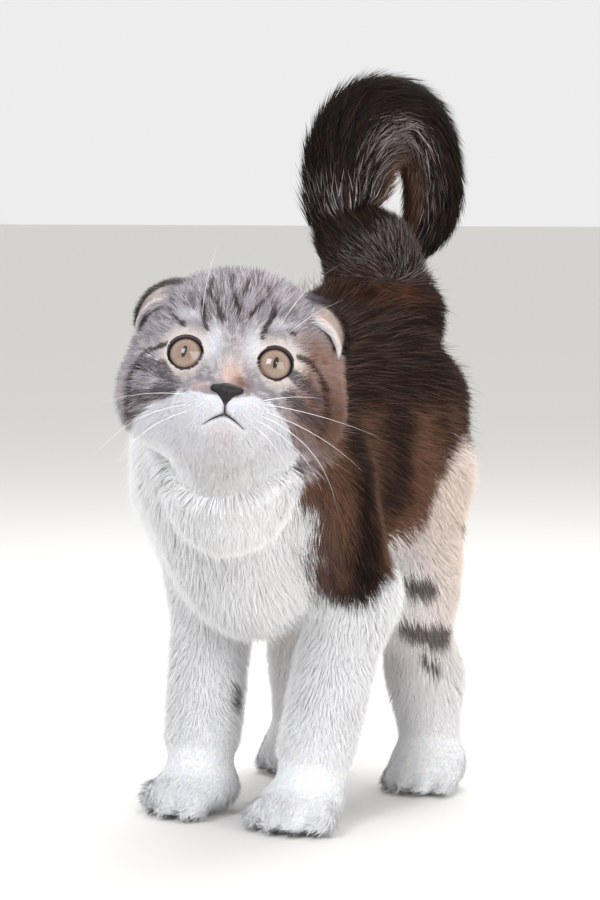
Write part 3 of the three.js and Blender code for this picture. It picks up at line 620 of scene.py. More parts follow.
# The lower edge of the dark coat along the left flank, and its front edge up the shoulder
FLANK_EDGE = (
    (-60, -36, -29, -16, -6, 4, 24, 35, 41, 50, 58, 75, 110),
    (95, 93, 86, 85, 95, 103, 103, 112, 128, 143, 147, 140, 134),
)
CHEST_EDGE = (
    (84, 93, 101, 109, 121, 129, 137, 150, 165),
    (-24, -36, -40, -42, -45, -50, -58, -66, -74),
)
# How dark the flank is from front to back: the classic bars of a tabby
FLANK_BARS = (
    (-80, -50, -38, -30, -22, -14, -7, 3, 13, 22, 31, 38, 46, 54, 64, 78, 100),
    (0.5, 0.3, 0.3, 0.5, 1, 0.85, 0.4, 0.45, 0.8, 0.9, 0.35, 0.3, 0.6, 0.45, 0.7, 0.85, 0.7),
)
# The upper edge of the white on the face, from the kitten's right to its left
WHITE_FACE_EDGE = (
    (-40, -34, -26, -19, -10, 0, 10, 15, 20, 24, 30, 40),
    (-31, -28, -22.5, -18.5, -20, -21, -18, -18.5, -21, -28, -38, -50),
)


def ripples(p, size, seed):
    """Smooth noise of about this size, from -1 to 1, as a sum of waves in fixed random directions."""
    draw = np.random.default_rng(seed)
    total = 0
    for _ in range(7):
        wave = draw.normal(size=3)
        wave *= 2 * math.pi / (size * draw.uniform(0.7, 1.6) * np.linalg.norm(wave))
        total = total + np.sin(p @ wave + draw.uniform(0, 2 * math.pi))
    return total / 3.2


def line_mask(p, lines, soft):
    """1 on the given lines, fading out over soft beyond their half width."""
    mask = np.zeros(p.shape[:-1])
    for places, half in lines:
        d = chain(p, [np.array(v, float) for v in places], [half] * len(places), 0.5)
        mask = np.maximum(mask, 1 - smooth(0, soft, d))
    return mask


def over(colour, other, mask):
    """Lays another colour over one, as far as the mask says."""
    return colour + (other - colour) * np.clip(mask, 0, 1)[..., None]


def sharp(mask, chance):
    """Makes a soft mask one of single hairs: a hair takes it if its chance, 0 to 1, lies below."""
    return np.clip((mask * 1.3 - 0.15 - chance) * 3 + 0.5, 0, 1)


def head_colour(q, chance):
    """The markings of the head, in its own frame, with painted shade on the muzzle, chin and throat."""
    x, y, z = q[..., 0], q[..., 1], q[..., 2]
    wobble = ripples(q, 9, 3)
    fine = ripples(q, 3.2, 4)
    streak = ripples(q * (1, 0.3, 0.3), 4.5, 13)
    side = smooth(16, 27, np.abs(x))
    colour = np.broadcast_to(LILAC, q.shape).copy()
    colour = over(colour, PALE, smooth(0.0, 0.9, fine + 0.6 * streak) * 0.7)
    # Brown warmth on the left temple and cheek, and over the nape
    warm = smooth(17, 29, x) * smooth(-34, -22, z) * (1 - smooth(5, 14, z))
    colour = over(colour, TAN, warm * (0.75 + 0.25 * fine))
    colour = over(colour, BROWN, spot(q, (36, -14, -17), (12, 20, 15), 0.2, 1.3) * 0.85)
    back = smooth(-4, 14, y + 0.2 * z)
    colour = over(colour, BROWN, back * 0.9)
    # Dark ticking: streaks on the forehead and crown, bars on the cheeks
    crown = smooth(3, 13, z) * (0.44 + 0.3 * streak)
    cheek = side * (1 - smooth(-8, 4, z)) * (0.3 + 0.35 * ripples(q * (0.5, 0.5, 1.5), 6, 6))
    cheek = cheek * np.where(x > 0, 1, 0.6)
    temple = side * smooth(-8, 4, z) * (0.26 + 0.25 * streak)
    ticked = np.maximum(np.maximum(crown, cheek), temple)
    ticked = ticked * (1 - 0.6 * warm) + back * 0.5
    from_eye = [np.linalg.norm(q - mirrored(EYE["middle"], hand), axis=-1) for hand in SIDES.values()]
    for near in from_eye:
        ticked = ticked * smooth(9.5, 15, near + 2 * smooth(0, 6, z))
    colour = over(colour, TICK, sharp(ticked, chance) * 0.8)
    # Pale rings round the eyes, whitest towards the nose
    for near, hand in zip(from_eye, SIDES.values()):
        colour = over(colour, CREAM, (1 - smooth(9.5, 14.5, near)) * (0.9 - 0.4 * smooth(0, 8, z)))
        colour = over(colour, WHITE, spot(q, (hand * 7, -35, 0), (4.4, 9, 9), 0.1, 1.3) * 0.6)
        colour = over(colour, WHITE, spot(q, (hand * 16, -32, 10), (6, 8, 3), 0.1, 1.4) * 0.4)
    # Bridge of the nose and the rusty mark beside it
    colour = over(colour, CREAM, spot(q, (0.5, -42, -8), (6, 10, 10), 0.1, 1.3) * 0.6)
    colour = over(colour, PEACH, spot(q, (1.5, -43, -12), (5, 9, 6), 0.1, 1.4) * 0.7)
    colour = over(colour, RUST, spot(q, (5.4, -42, -14.6), (3.6, 5, 3.6), 0.1, 1.4) * 0.75)
    colour = over(colour, PEACH, spot(q, (-9, -41, -17), (4.5, 5, 3), 0.2) * 0.45)
    bent = q + 0.5 * np.stack([wobble, fine, wobble], -1)
    soft = line_mask(bent, CHEEK_LINES, 4)
    colour = over(colour, TICK, sharp(soft * 0.8, chance) * 0.8)
    lines = line_mask(bent, FACE_LINES, 1.2)
    colour = over(colour, DARK, sharp(lines * 0.95, chance) * 0.85)
    # White muzzle, chin and throat. The muzzle's white is painted darker than the body's, as painted shade
    # against the light on the face, and turns to the full white behind and low under the jaw
    edge = np.interp(x, *WHITE_FACE_EDGE)
    muzzle = smooth(-1.6, 1.6, edge + wobble * 1.2 - z)
    deep = (smooth(-22, 2, y) * (1 - smooth(-34, -24, z)))[..., None]
    colour = over(colour, SHADED_MUZZLE_WHITE + (WHITE - SHADED_MUZZLE_WHITE) * deep, sharp(muzzle, chance))
    # Painted shade under the chin, and a greyer tint on the throat that is painted shade under the head
    # over its real warm beige
    chin_shade = spot(q, (0.8, -36, -33), (8, 9, 6), 0.1, 1.5)
    throat = spot(q, (2, -14, -40), (16, 18, 12), 0.2, 1.5)
    colour = over(colour, linear("#cfc9c2"), throat * 0.6)
    return over(colour, linear("#cbb7ab"), chin_shade * 0.5)


def trunk_colour(p, chance):
    """The markings of the trunk, neck and legs, with painted shade on the white towards the rump."""
    x, y, z = p[..., 0], p[..., 1], p[..., 2]
    wobble = ripples(p, 26, 7)
    fine = ripples(p * (1, 1, 0.5), 7, 8)
    bars = np.interp(y + 2 * wobble, *FLANK_BARS) + 0.08 * fine
    bars = bars * (1 - 0.5 * (1 - smooth(108, 126, z)) * smooth(5, 16, y))
    top = smooth(146, 168, z)
    bars = np.maximum(bars, top * (0.92 + 0.05 * fine))
    colour = np.broadcast_to(BROWN, p.shape).copy()
    colour = over(colour, TAN, (0.6 + 0.2 * fine) * (1 - 0.7 * smooth(128, 172, z)))
    colour = over(colour, DARK, smooth(0.15, 0.7, bars) * 0.6 + sharp(bars, chance) * 0.4)
    colour = over(colour, BLACK, smooth(0.7, 1, bars) * (0.35 + 0.3 * chance))
    red = spot(p, (14, 44, 206), (28, 24, 11), 0.3, 1.3)
    colour = over(colour, RED_BROWN, red * (0.45 + 0.3 * fine))
    # White chest, belly and legs
    far_side = smooth(-2, -26, x)
    front = np.interp(z, *CHEST_EDGE) + 26 * far_side + 3 * wobble
    low = np.interp(y, *FLANK_EDGE) + 3 * wobble - 6 * far_side
    white = 1 - smooth(-9, 8, y - front) * smooth(-5, 6, z - low)
    under = 1 - smooth(14, 26, np.abs(x))
    white = np.maximum(white, under * (1 - smooth(88, 104, z)))
    white = sharp(white, chance)
    grey = smooth(-3, 12, front + 14 - y) * (1 - smooth(118, 140, z))
    colour = over(colour, TICK, grey * 0.5)
    colour = over(colour, WHITE, white)
    # Painted shade: the white towards the rump and up the thighs is warmed and darkened, as it lies in
    # shade
    warm = smooth(5, 45, y) * white * smooth(20, 105, z)
    colour = over(colour, SHADE_WARM_WHITE, warm * 0.85)
    lines = line_mask(p + 0.8 * np.stack([wobble, fine, fine], -1), LEG_LINES, 5)
    return over(colour, linear("#3a302c"), sharp(lines * 0.95, chance) * 0.85)


def tail_station(p):
    """How far along the tail each place is, from 0 to 1, and the way the tail runs there."""
    stations = np.linspace(0, 1.0, 81)
    places = tail_place(stations)
    near = np.stack([np.linalg.norm(p - place, axis=-1) for place in places], -1)
    t = stations[near.argmin(-1)]
    way = unit(tail_place(t + 0.02) - tail_place(t - 0.02))
    return t, way


TO_CAMERA = np.array([0.55, -0.83, 0])


def tail_colour(p, t, chance):
    """A black tail with pale hairs along the inside of its loop, painted sheen on the side towards the
    camera, and a brown inner edge.
    """
    out = unit(p - tail_place(t))
    facing = out @ TO_CAMERA
    inward = -(out * unit(tail_place(t) - np.array(TAIL["middle"], float))).sum(-1)
    colour = np.broadcast_to(BLACK, p.shape).copy()
    colour = over(colour, DARK, sharp(0.4 + 0 * t, chance))
    # Painted sheen: the pale band shows only on the side that faces the camera, over the paler hairs
    # inside the loop
    pale_and_sheen = smooth(0.05, 0.5, facing) * smooth(-0.25, 0.3, inward) * smooth(0.12, 0.3, t)
    pale_and_sheen = pale_and_sheen * (1 - 0.6 * smooth(0.55, 0.8, t)) * 0.42
    ring = np.exp(-(((t - 0.2) / 0.03) ** 2)) * 0.3
    base = (1 - smooth(0.0, 0.12, t)) * 0.3
    pale = np.maximum(np.maximum(pale_and_sheen, ring), base) + 0.02
    colour = over(colour, ASH, sharp(pale, 1 - chance))
    return over(colour, TAN, smooth(0.5, 0.9, inward) * smooth(0.08, 0.2, t) * 0.45)


def ear_colour(side, u, v, chance):
    """A folded ear: dark behind its crest, cream where the coat is thin, and a pale fringe."""
    crest = EAR["crest"][side]
    colour = np.broadcast_to(BROWN, (*u.shape, 3)).copy()
    colour = over(colour, ASH, sharp(0.35 + 0 * u, 1 - chance) * 0.8)
    colour = over(colour, DARK, sharp(0.3 + 0 * u, chance) * 0.8)
    colour = over(colour, CREAM, sharp(smooth(crest - 0.06, crest + 0.08, v), chance))
    colour = over(colour, PEACH, smooth(crest, crest + 0.12, v) * (0.35 if side > 0 else 0.1))
    front = 1 - smooth(0.1, 0.3, u + 0.25 * smooth(0.5, 0.8, v))
    colour = over(colour, over(LILAC + 0 * colour, TICK, sharp(0.3 + 0 * u, chance)), front)
    front = front[..., None]
    fringe = sharp(smooth(0.72, 0.86, v) * (1 - 0.5 * front[..., 0]), chance)
    return over(colour, WHITE * 0.45 + PALE * 0.55 if side > 0 else LILAC * 1.15, fringe * 0.85)


REGIONS = ("trunk", "neck", "head", "fore", "hind", "tail")


def regions(p):
    """How much each place belongs to each region of the body."""
    q = to_head(p)
    distances = [
        trunk_form(p),
        bar_form(p, NECK) + 1,
        head_form(q) - 1,
        np.minimum(leg_form(p, "fore", "left"), leg_form(p, "fore", "right")) + 2,
        np.minimum(leg_form(p, "hind", "left"), leg_form(p, "hind", "right")) + 2,
        tail_form(p) + 2,
    ]
    d = np.stack(distances, -1)
    weight = np.exp(-(d - d.min(-1, keepdims=True)) / 2.5)
    return weight / weight.sum(-1, keepdims=True)


def coat_colour(p, share, chance):
    """The markings, which skin and coat both carry. p lies in the coat's outside."""
    head = share[..., 2:3]
    tail = share[..., 5:6]
    t, _ = tail_station(p)
    body = trunk_colour(p, chance)
    on_head = head_colour(to_head(p), chance)
    on_tail = tail_colour(p, t, chance)
    return body * (1 - head - tail) + on_head * head + on_tail * tail


def lie_of_coat(p, normals, share):
    """The way the hair lies, along the skin."""
    q = to_head(p)
    on_head = unit((q - (0, -50, -13)) @ HEAD_TURN.T)
    hang = smooth(-30, 0, q[..., 1]) * (1 - smooth(-10, 10, q[..., 2]))
    on_head = on_head + hang[..., None] * (-0.1, 0.35, -0.6)
    y, z = p[..., 1], p[..., 2]
    front = 1 - smooth(-62, -30, y)
    ways = np.stack([0 * y, 1 - 0.85 * front, -0.55 - 0.6 * front], -1)
    chest = np.broadcast_to((-0.1, 0.25, -0.95), p.shape)
    nape = np.broadcast_to((-0.35, 0.9, -0.15), p.shape)
    up = smooth(-0.1, 0.6, normals[..., 2])[..., None]
    neck = chest * (1 - up) + nape * up
    leg = np.broadcast_to((0, 0.12, -1.0), p.shape)
    low = (1 - smooth(3, 32, z))[..., None]
    leg = leg * (1 - low) + np.array((0, -1.0, -0.25)) * low
    _, along = tail_station(p)
    options = [unit(ways), neck, unit(on_head), leg, leg, along]
    way = sum(share[..., n : n + 1] * option for n, option in enumerate(options))
    way = way - normals * (way * normals).sum(-1, keepdims=True)
    return unit(way)


# Meshes


def mesh_object(name, corners, faces, material):
    """A mesh in millimetres of the design frame. faces is a list of arrays of triangles or quads."""
    mesh = bpy.data.meshes.new(name)
    corners = placed(corners)
    mesh.vertices.add(len(corners))
    mesh.vertices.foreach_set("co", corners.astype(np.float32).ravel())
    loops = np.concatenate([part.ravel() for part in faces])
    sizes = np.concatenate([np.full(len(part), part.shape[1]) for part in faces])
    mesh.loops.add(len(loops))
    mesh.loops.foreach_set("vertex_index", loops.astype(np.int32))
    mesh.polygons.add(len(sizes))
    starts = np.concatenate([[0], np.cumsum(sizes)[:-1]])
    mesh.polygons.foreach_set("loop_start", starts.astype(np.int32))
    mesh.update(calc_edges=True)
    mesh.polygons.foreach_set("use_smooth", np.full(len(sizes), True))
    mesh.materials.append(material)
    piece = bpy.data.objects.new(name, mesh)
    bpy.context.scene.collection.objects.link(piece)
    return piece


def paint(piece, colours):
    """Stores one linear colour for each corner."""
    layer = piece.data.attributes.new("coat", "FLOAT_COLOR", "POINT")
    values = np.concatenate([colours, np.ones((len(colours), 1))], -1)
    layer.data.foreach_set("color", values.astype(np.float32).ravel())


def add(nodes, kind, settings=None, **links):
    """Adds a node. Settings are its own properties, and links are values or sockets of inputs."""
    node = nodes.new(kind)
    for key, value in (settings or {}).items():
        setattr(node, key, value)
    for key, value in links.items():
        socket = node.inputs[key.replace("_", " ")]
        if isinstance(value, bpy.types.NodeSocket):
            node.id_data.links.new(value, socket)
        else:
            socket.default_value = value
    return node


def new_material(name):
    """An empty material with its output and one Principled shader."""
    material = bpy.data.materials.new(name)
    material.use_nodes = True
    nodes = material.node_tree.nodes
    shader = nodes["Principled BSDF"]
    return material, nodes, shader


def hair_material():
    """Kitten hair: keratin, soft and matt, with a faint silky sheen along each tuft."""
    material, nodes, shader = new_material("soft kitten hair")
    tone = add(nodes, "ShaderNodeAttribute", {"attribute_name": "coat"})
    material.node_tree.links.new(tone.outputs["Color"], shader.inputs["Base Color"])
    shader.inputs["Roughness"].default_value = 0.7
    shader.inputs["IOR"].default_value = 1.55
    shader.inputs["Specular IOR Level"].default_value = 0.1
    return material


def skin_material():
    """Skin under the coat: the same markings, darkened by painted shade, with the fine relief of short
    hair roots.
    """
    material, nodes, shader = new_material("haired skin")
    links = material.node_tree.links
    tone = add(nodes, "ShaderNodeAttribute", {"attribute_name": "coat"})
    place = add(nodes, "ShaderNodeTexCoord")
    # Hair roots about 0.6 mm apart
    roots = add(nodes, "ShaderNodeTexNoise", Vector=place.outputs["Object"], Scale=900.0, Detail=2.0)
    mixed = add(nodes, "ShaderNodeMix", {"data_type": "RGBA", "blend_type": "MULTIPLY"})
    mixed.inputs["Factor"].default_value = 0.4
    links.new(tone.outputs["Color"], mixed.inputs["A"])
    links.new(roots.outputs["Color"], mixed.inputs["B"])
    links.new(mixed.outputs["Result"], shader.inputs["Base Color"])
    relief = add(nodes, "ShaderNodeBump", Height=roots.outputs["Fac"], Strength=0.6, Distance=0.0006)
    links.new(relief.outputs["Normal"], shader.inputs["Normal"])
    shader.inputs["Roughness"].default_value = 0.8
    return material


HAIR = hair_material()
SKIN = skin_material()


def make_skin():
    """One skin over head, trunk, legs and tail, as two closed nets that meet under the ruff."""
    fine, coarse = 0.75, 1.7
    head_walls = [
        spaced((-46, -25, coarse), (-25, 25, fine), (25, 46, coarse)),
        spaced((-52, -24, fine), (-24, 44, coarse)),
        spaced((-70, -38, coarse), (-38, 10, fine), (10, 42, coarse)),
    ]

    def head_within(q):
        return np.maximum(face_form(q), q @ SEAM["way"] - SEAM["head_end"])

    def body_within(p):
        q = to_head(p)
        cap = np.minimum(SEAM["body_end"] - q @ SEAM["way"], SEAM["reach"] - np.linalg.norm(q, axis=-1))
        return np.maximum(flesh_form(p) + 0.15, cap)

    head, head_faces = net(head_within, head_walls)
    head = from_head(settled(head_within, head, head_faces, 2, 0.5))
    cell = 2.3
    body_walls = [spaced((-58, 62, cell)), spaced((-112, 116, cell)), spaced((-2, 296, cell))]
    body, body_faces = net(body_within, body_walls)
    body = settled(body_within, body, body_faces, 2, 1.0)
    corners = np.concatenate([head, body])
    faces = np.concatenate([head_faces, body_faces + len(head)])
    return corners, faces


def hidden_ends(corners, faces):
    """Marks the faces of the skin that lie inside the body, where no hair grows."""
    middles = corners[faces].mean(1)
    return flesh_form(middles) < -1.2


# The coat


def bare_places(q):
    """0 where the face is bare: the nose, the eyes and the lips, and 1 elsewhere."""
    cover = np.ones(q.shape[:-1])
    for side in SIDES.values():
        middle, axes = eye_frame(side)
        r = (q - middle) @ axes
        ring = np.sqrt((r[..., 0] / LID["wide"]) ** 2 + (r[..., 2] / LID["high"]) ** 2)
        front = (r[..., 1] < 0) & (np.linalg.norm(r, axis=-1) < 14)
        cover = np.where(front, np.minimum(cover, smooth(1.14, 1.24, ring)), cover)
    nose = nose_form(q)
    cover = np.minimum(cover, smooth(0.1, 0.5, nose))
    for path in MOUTH_PATHS:
        near = chain(q, path, [0.0] * len(path), 0.3)
        cover = np.minimum(cover, smooth(0.5, 0.8, near))
    return cover


NOSE_MIDDLE = np.array([NOSE["aside"], float(face_at(0, NOSE["height"])) + 1.2, NOSE["height"]])
NOSE_AXES = turned(0, NOSE["lean"])


def nose_form(q):
    """The bare nose: a flat-topped wedge with wings, two comma nostrils and a middle groove."""
    r = (q - NOSE_MIDDLE) @ NOSE_AXES
    d = ellipsoid(r, (0, 0.2, 1.4), (4.9, 2.1, 1.7))
    d = join(d, bar(r, (0, -0.1, 0.2), (0, 0.7, -5.0), 2.9, 1.0), 2.0)
    for side in SIDES.values():
        d = join(d, ellipsoid(r, (side * 4.1, 0.9, 1.3), (1.7, 1.9, 1.2)), 1.2)
    for side in SIDES.values():
        hole = bar(r, (side * 2.2, -2.3, -0.2), (side * 4.6, -0.9, -0.5), 0.7, 0.4)
        d = cut(d, hole, 0.5)
    groove = bar(r, (0, -2.8, 0.2), (0, -2.5, -5), 0.3, 0.3)
    return cut(d, groove, 0.6)


def ear_place(side, u, v, under=0.0):
    """A place on a folded ear: u from its front to its back, v from its hinge to its free edge."""
    front, back, brow, tip = (np.array(EAR[k], float) for k in ("front", "back", "brow", "tip"))
    hinge = front + (back - front) * u[..., None]
    edge = brow + (tip - brow) * u[..., None]
    bend = np.sin(np.clip(v / 0.3, 0, 1) * math.pi / 2)
    hang = EAR["rise"] + (EAR["edge_rise"][side] - EAR["rise"]) * np.clip((v - 0.3) / 0.7, 0, 1)
    hang = hang - DEPTH["ear"]
    sides = np.sqrt(np.maximum(np.sin(math.pi * u), 0))
    sunk = EAR["hinge_sunk"]
    lift = (hang + sunk) * bend * sides - sunk
    q = over_skull(hinge + (edge - hinge) * v[..., None], lift - under)
    return from_head(q * (side, 1, 1))


def ear_sheet(side):
    """The skin of one ear: a thin bent flap, with its corners' u and v for the colours."""
    across, down = 44, 36
    u, v = np.meshgrid(np.linspace(0, 1, across), np.linspace(0, EAR["free"], down), indexing="ij")
    outer = ear_place(side, u, v).reshape(-1, 3)
    inner = ear_place(side, u, v, EAR["thick"]).reshape(-1, 3)
    grid = np.arange(across * down).reshape(across, down)
    quads = np.stack([grid[:-1, :-1], grid[:-1, 1:], grid[1:, 1:], grid[1:, :-1]], -1).reshape(-1, 4)
    if side < 0:
        quads = quads[:, ::-1]
    rim = np.concatenate([grid[0], grid[1:, -1], grid[-1, -2::-1], grid[-2:0:-1, 0]])
    after = np.roll(rim, -1)
    wall = np.stack([rim, rim + grid.size, after + grid.size, after], -1)
    if side > 0:
        wall = wall[:, ::-1]
    faces = np.concatenate([quads, quads[:, ::-1] + grid.size, wall])
    places = np.concatenate([np.stack([u, v], -1).reshape(-1, 2)] * 2)
    is_inner = np.arange(len(places)) >= grid.size
    return np.concatenate([outer, inner]), faces, places, is_inner


# dense: tufts on a square millimetre; short and long: a tuft's length is short, and long for each
# millimetre of the coat's depth
COATS = {
    "trunk": {"dense": 2.8, "short": 4, "long": 1.6},
    "neck": {"dense": 3.8, "short": 3.5, "long": 1.6},
    "head": {"dense": 5.2, "short": 0.9, "long": 2.1},
    "fore": {"dense": 2.4, "short": 1.3, "long": 1.6},
    "hind": {"dense": 2.4, "short": 1.3, "long": 1.6},
    "tail": {"dense": 4.2, "short": 3, "long": 1.5},
}


# The most faces of one piece, the share of long hairs that stand out, and the tufts of one ear
PIECE_FACES = 198000
WISP_SHARE = 0.045
EAR_TUFTS = 11000
# How far along a tail tuft its bend lies, and how far from the tail's middle such tufts may root
TUFT_BEND = 0.36
TAIL_ROOTS = 10.5


def by_region(share, key):
    """A value of the coat at each place, mixed over the regions that meet there."""
    return share @ np.array([coat[key] for coat in COATS.values()], float)


def drawn_roots(corners, faces, normals, hidden):
    """Draws the places where the tufts grow, over the skin."""
    triangles = np.concatenate([faces[:, [0, 1, 2]], faces[:, [0, 2, 3]]])
    inside = np.concatenate([hidden, hidden])
    cross = np.cross(
        corners[triangles[:, 1]] - corners[triangles[:, 0]],
        corners[triangles[:, 2]] - corners[triangles[:, 0]],
    )
    area = np.linalg.norm(cross, axis=-1) / 2
    weight = area * by_region(regions(corners[triangles].mean(1)), "dense")
    ends = np.cumsum(np.where(inside, 0, weight))
    count = int(ends[-1])
    picks = np.searchsorted(ends, (np.arange(count) + DRAW.random(count)) * ends[-1] / count)
    picks = np.minimum(picks, len(triangles) - 1)
    a, b = DRAW.random(count), DRAW.random(count)
    over_one = a + b > 1
    a, b = np.where(over_one, 1 - a, a), np.where(over_one, 1 - b, b)
    mix = np.stack([1 - a - b, a, b], -1)[..., None]
    roots = (corners[triangles[picks]] * mix).sum(1)
    up = unit((normals[triangles[picks]] * mix).sum(1))
    kept = (DRAW.random(count) < bare_places(to_head(roots))) & (roots[:, 2] > 1.0)
    return roots[kept], up[kept]


def piece_of(roots, share):
    """Which coat piece each tuft goes to."""
    region = share.argmax(-1)
    left = roots[:, 0] > 0
    names = np.full(len(roots), "coat_flank_right", dtype=object)
    names[left] = "coat_flank_left"
    top = roots[:, 1] > 36
    names[top & left] = "coat_rump_left"
    names[top & ~left] = "coat_rump_right"
    names[region == 1] = "coat_ruff"
    head_left = to_head(roots)[:, 0] > 0
    names[(region == 2) & head_left] = "coat_head_left"
    names[(region == 2) & ~head_left] = "coat_head_right"
    for n, pair in ((3, "foreleg"), (4, "hindleg")):
        names[(region == n) & left] = "coat_" + pair + "_left"
        names[(region == n) & ~left] = "coat_" + pair + "_right"
    names[region == 5] = "coat_tail_foot"
    return names


def unwrapped(name, roots):
    """A place for each root on an unwrap of the skin's own shape, from 0 to 1 both ways."""
    if name.startswith("coat_head") or name.startswith("coat_ear"):
        q = to_head(roots) - SKULL["middle"]
        across = np.arctan2(q[:, 0], -q[:, 1]) / (2 * math.pi) + 0.5
        upward = np.arcsin(np.clip(unit(q)[:, 2], -1, 1)) / math.pi + 0.5
    elif name.startswith("coat_tail"):
        t, way = tail_station(roots)
        out = roots - tail_place(t)
        flat = np.cross(way, (0, 0, 1.0))
        across = np.arctan2((out * flat).sum(-1), (out * np.cross(flat, way)).sum(-1))
        across = across / (2 * math.pi) + 0.5
        upward = t
    elif "leg" in name:
        middle = roots[:, :2].mean(0)
        across = np.arctan2(roots[:, 0] - middle[0], roots[:, 1] - middle[1])
        across = across / (2 * math.pi) + 0.5
        upward = roots[:, 2] / 140
    else:
        across = np.arctan2(roots[:, 0], roots[:, 2] - 135) / (2 * math.pi) + 0.5
        upward = (roots[:, 1] + 100) / 220
    return np.clip(np.stack([across, upward], -1), 0.003, 0.994)


def tuft_mesh(name, path, side, up, half, tones, places):
    """Closed tapered tufts of three sides. path holds the middles from root to tip, one array of
    places for each station, half the half widths, and places where the roots lie on the unwrap."""
    needle = len(path) == 2
    count = len(side)
    rings, colours, spread, facing = [], [], [], []
    for n, (middle, width, tone) in enumerate(zip(path, half, tones)):
        along = n / (len(path) - 1)
        if n == len(path) - 1 or (n == 0 and not needle):
            rings.append(middle)
            colours.append(tone)
            spread.append((0, along * 0.0028 - 0.0014))
            facing.append(up)
            continue
        for across, lift in ((1, -0.3), (0, 0.7), (-1, -0.3)):
            rings.append(middle + (side * across + up * lift) * width[:, None])
            colours.append(tone)
            spread.append((across * 0.0007, along * 0.0028 - 0.0014))
            facing.append(unit(up + side * across * 0.4))
    per = len(rings)
    inner = len(path) - (1 if needle else 2)
    pattern = []
    first = 0 if needle else 1
    for m in range(3):
        following = (m + 1) % 3
        if not needle:
            pattern.append((0, 1 + following, 1 + m))
        for n in range(inner - 1):
            a, b = first + n * 3 + m, first + n * 3 + following
            pattern += [(a, b, b + 3), (a, b + 3, a + 3)]
        last = first + (inner - 1) * 3
        pattern.append((last + m, last + following, per - 1))
    if needle:
        pattern.append((0, 2, 1))
    pattern = np.array(pattern)
    faces = (np.arange(count) * per)[:, None, None] + pattern[None]
    corners = np.stack(rings, 1).reshape(-1, 3)
    piece = mesh_object(name, corners, [faces.reshape(-1, 3)], HAIR)
    paint(piece, np.stack(colours, 1).reshape(-1, 3))
    # The coat is lit as one soft surface, so each tuft's normals lean towards the skin's own
    piece.data.normals_split_custom_set_from_vertices(np.stack(facing, 1).reshape(-1, 3))
    on_unwrap = places[:, None, :] + np.array(spread)[None]
    layer = piece.data.uv_layers.new(name="OFBake")
    values = on_unwrap.reshape(-1, 2)[faces.reshape(-1)]
    layer.uv.foreach_set("vector", values.astype(np.float32).ravel())
    return piece


def chosen_tufts(name, at, roots, path, side, up, half, tones):
    """One coat piece of the chosen tufts."""
    path, half, tones = ([value[at] for value in values] for values in (path, half, tones))
    return tuft_mesh(name, path, side[at], up[at], half, tones, unwrapped(name, roots[at]))


def tuft_tones(tone, root_shade):
    """Colours from root to tip: painted shade darkens the roots, between the tufts, except where the coat
    is white; the tips are a little lighter.
    """
    brightness = tone.mean(-1, keepdims=True)
    root = tone * (root_shade + (0.98 - root_shade) * smooth(0.1, 0.5, brightness))
    return root, np.clip(tone * 1.06, 0, 0.96)


def body_coat(roots, up, share):
    """The tufts of head, trunk and legs, one piece for each part."""
    depth = -body_form(roots) - slimmed(roots)
    at_base = 1 - smooth(0, 6, bar(roots, *TAIL_BASE))
    depth = np.maximum(depth, 0.5 + 3.2 * at_base)
    q = to_head(roots)
    # The coat lies flat under the throat, and is fluffy round the paws
    throat = spot(q, (0, 4, -40), (42, 34, 20), 0.5, 1.25)
    depth = np.minimum(depth, 12 - 8.5 * throat)
    paw = 1 - smooth(5, 22, roots[:, 2])
    way = lie_of_coat(roots, up, share)
    side = np.cross(up, way)
    count = len(roots)
    chance = DRAW.random(count)
    # Locks part a little, in patches, and each tuft has a turn of its own
    patch = ripples(roots, 16, 11) * 0.2 + ripples(roots, 6, 12) * 0.14
    way = unit(way + side * (patch + DRAW.normal(0, 0.15, count))[:, None])
    side = np.cross(up, way)
    length = by_region(share, "short") + depth * by_region(share, "long")
    length = length * DRAW.uniform(0.75, 1.2, count)
    # Short beside the nose, the lips and the eyes
    near = nose_form(q)
    for line in MOUTH_PATHS:
        near = np.minimum(near, chain(q, line, [0.0] * len(line), 0.3) - 0.5)
    cropped = 0.45 + 0.55 * smooth(0.2, 4, near)
    # Long under the chin and cheeks, so that the face runs into the ruff
    under = spot(q, (0, 0, -38), (42, 28, 16), 0.5, 1.3) * share[:, 2]
    length = length * cropped * (1 + 0.6 * under * (1 - throat)) * (1 + 0.6 * paw)
    height = depth * DRAW.uniform(0.6, 1.25, count) * cropped + 0.15
    height = height * (1 - 0.5 * throat) + 0.5 * paw
    wide = (0.12 + 0.014 * length) * DRAW.uniform(0.75, 1.25, count)
    # A few longer, paler hairs stand out of the dark coat, most of all along the back
    wisp = (DRAW.random(count) < WISP_SHARE) & (share[:, 2] < 0.5)
    length = np.where(wisp, length * 1.35, length)
    height = np.where(wisp, height * (1.5 + 0.6 * smooth(0.2, 0.8, up[:, 2])), height)
    wide = np.where(wisp, wide * 0.6, wide)
    seen = roots + up * depth[:, None] + way * (length * 0.45)[:, None]
    tone = coat_colour(seen, regions(seen), chance)
    tone = tone * np.exp(DRAW.normal(0, 0.12, count) * (1 - 0.8 * tone.mean(-1)))[:, None]
    tone = np.where(wisp[:, None] & (tone.mean(-1, keepdims=True) < 0.1), tone * 0.5 + WISP * 0.5, tone)
    # The tufts' roots carry painted shade
    tones = tuft_tones(tone, 0.75)
    tips = roots + way * length[:, None] + up * height[:, None]
    # No tip reaches the floor, and the fur at the soles takes the light from above
    tips[:, 2] = np.maximum(tips[:, 2], 0.4)
    path = [roots - up * 0.5, tips]
    lit = unit(up + paw[:, None] * (0, 0, 1.1))
    names = piece_of(roots, share)
    pieces = []
    for name in sorted(set(names)):
        at = np.flatnonzero(names == name)
        if len(at) > PIECE_FACES // 4:
            at = at[np.sort(DRAW.permutation(len(at))[: PIECE_FACES // 4])]
        pieces.append(chosen_tufts(name, at, roots, path, side, lit, [wide, wide], tones))
    return pieces


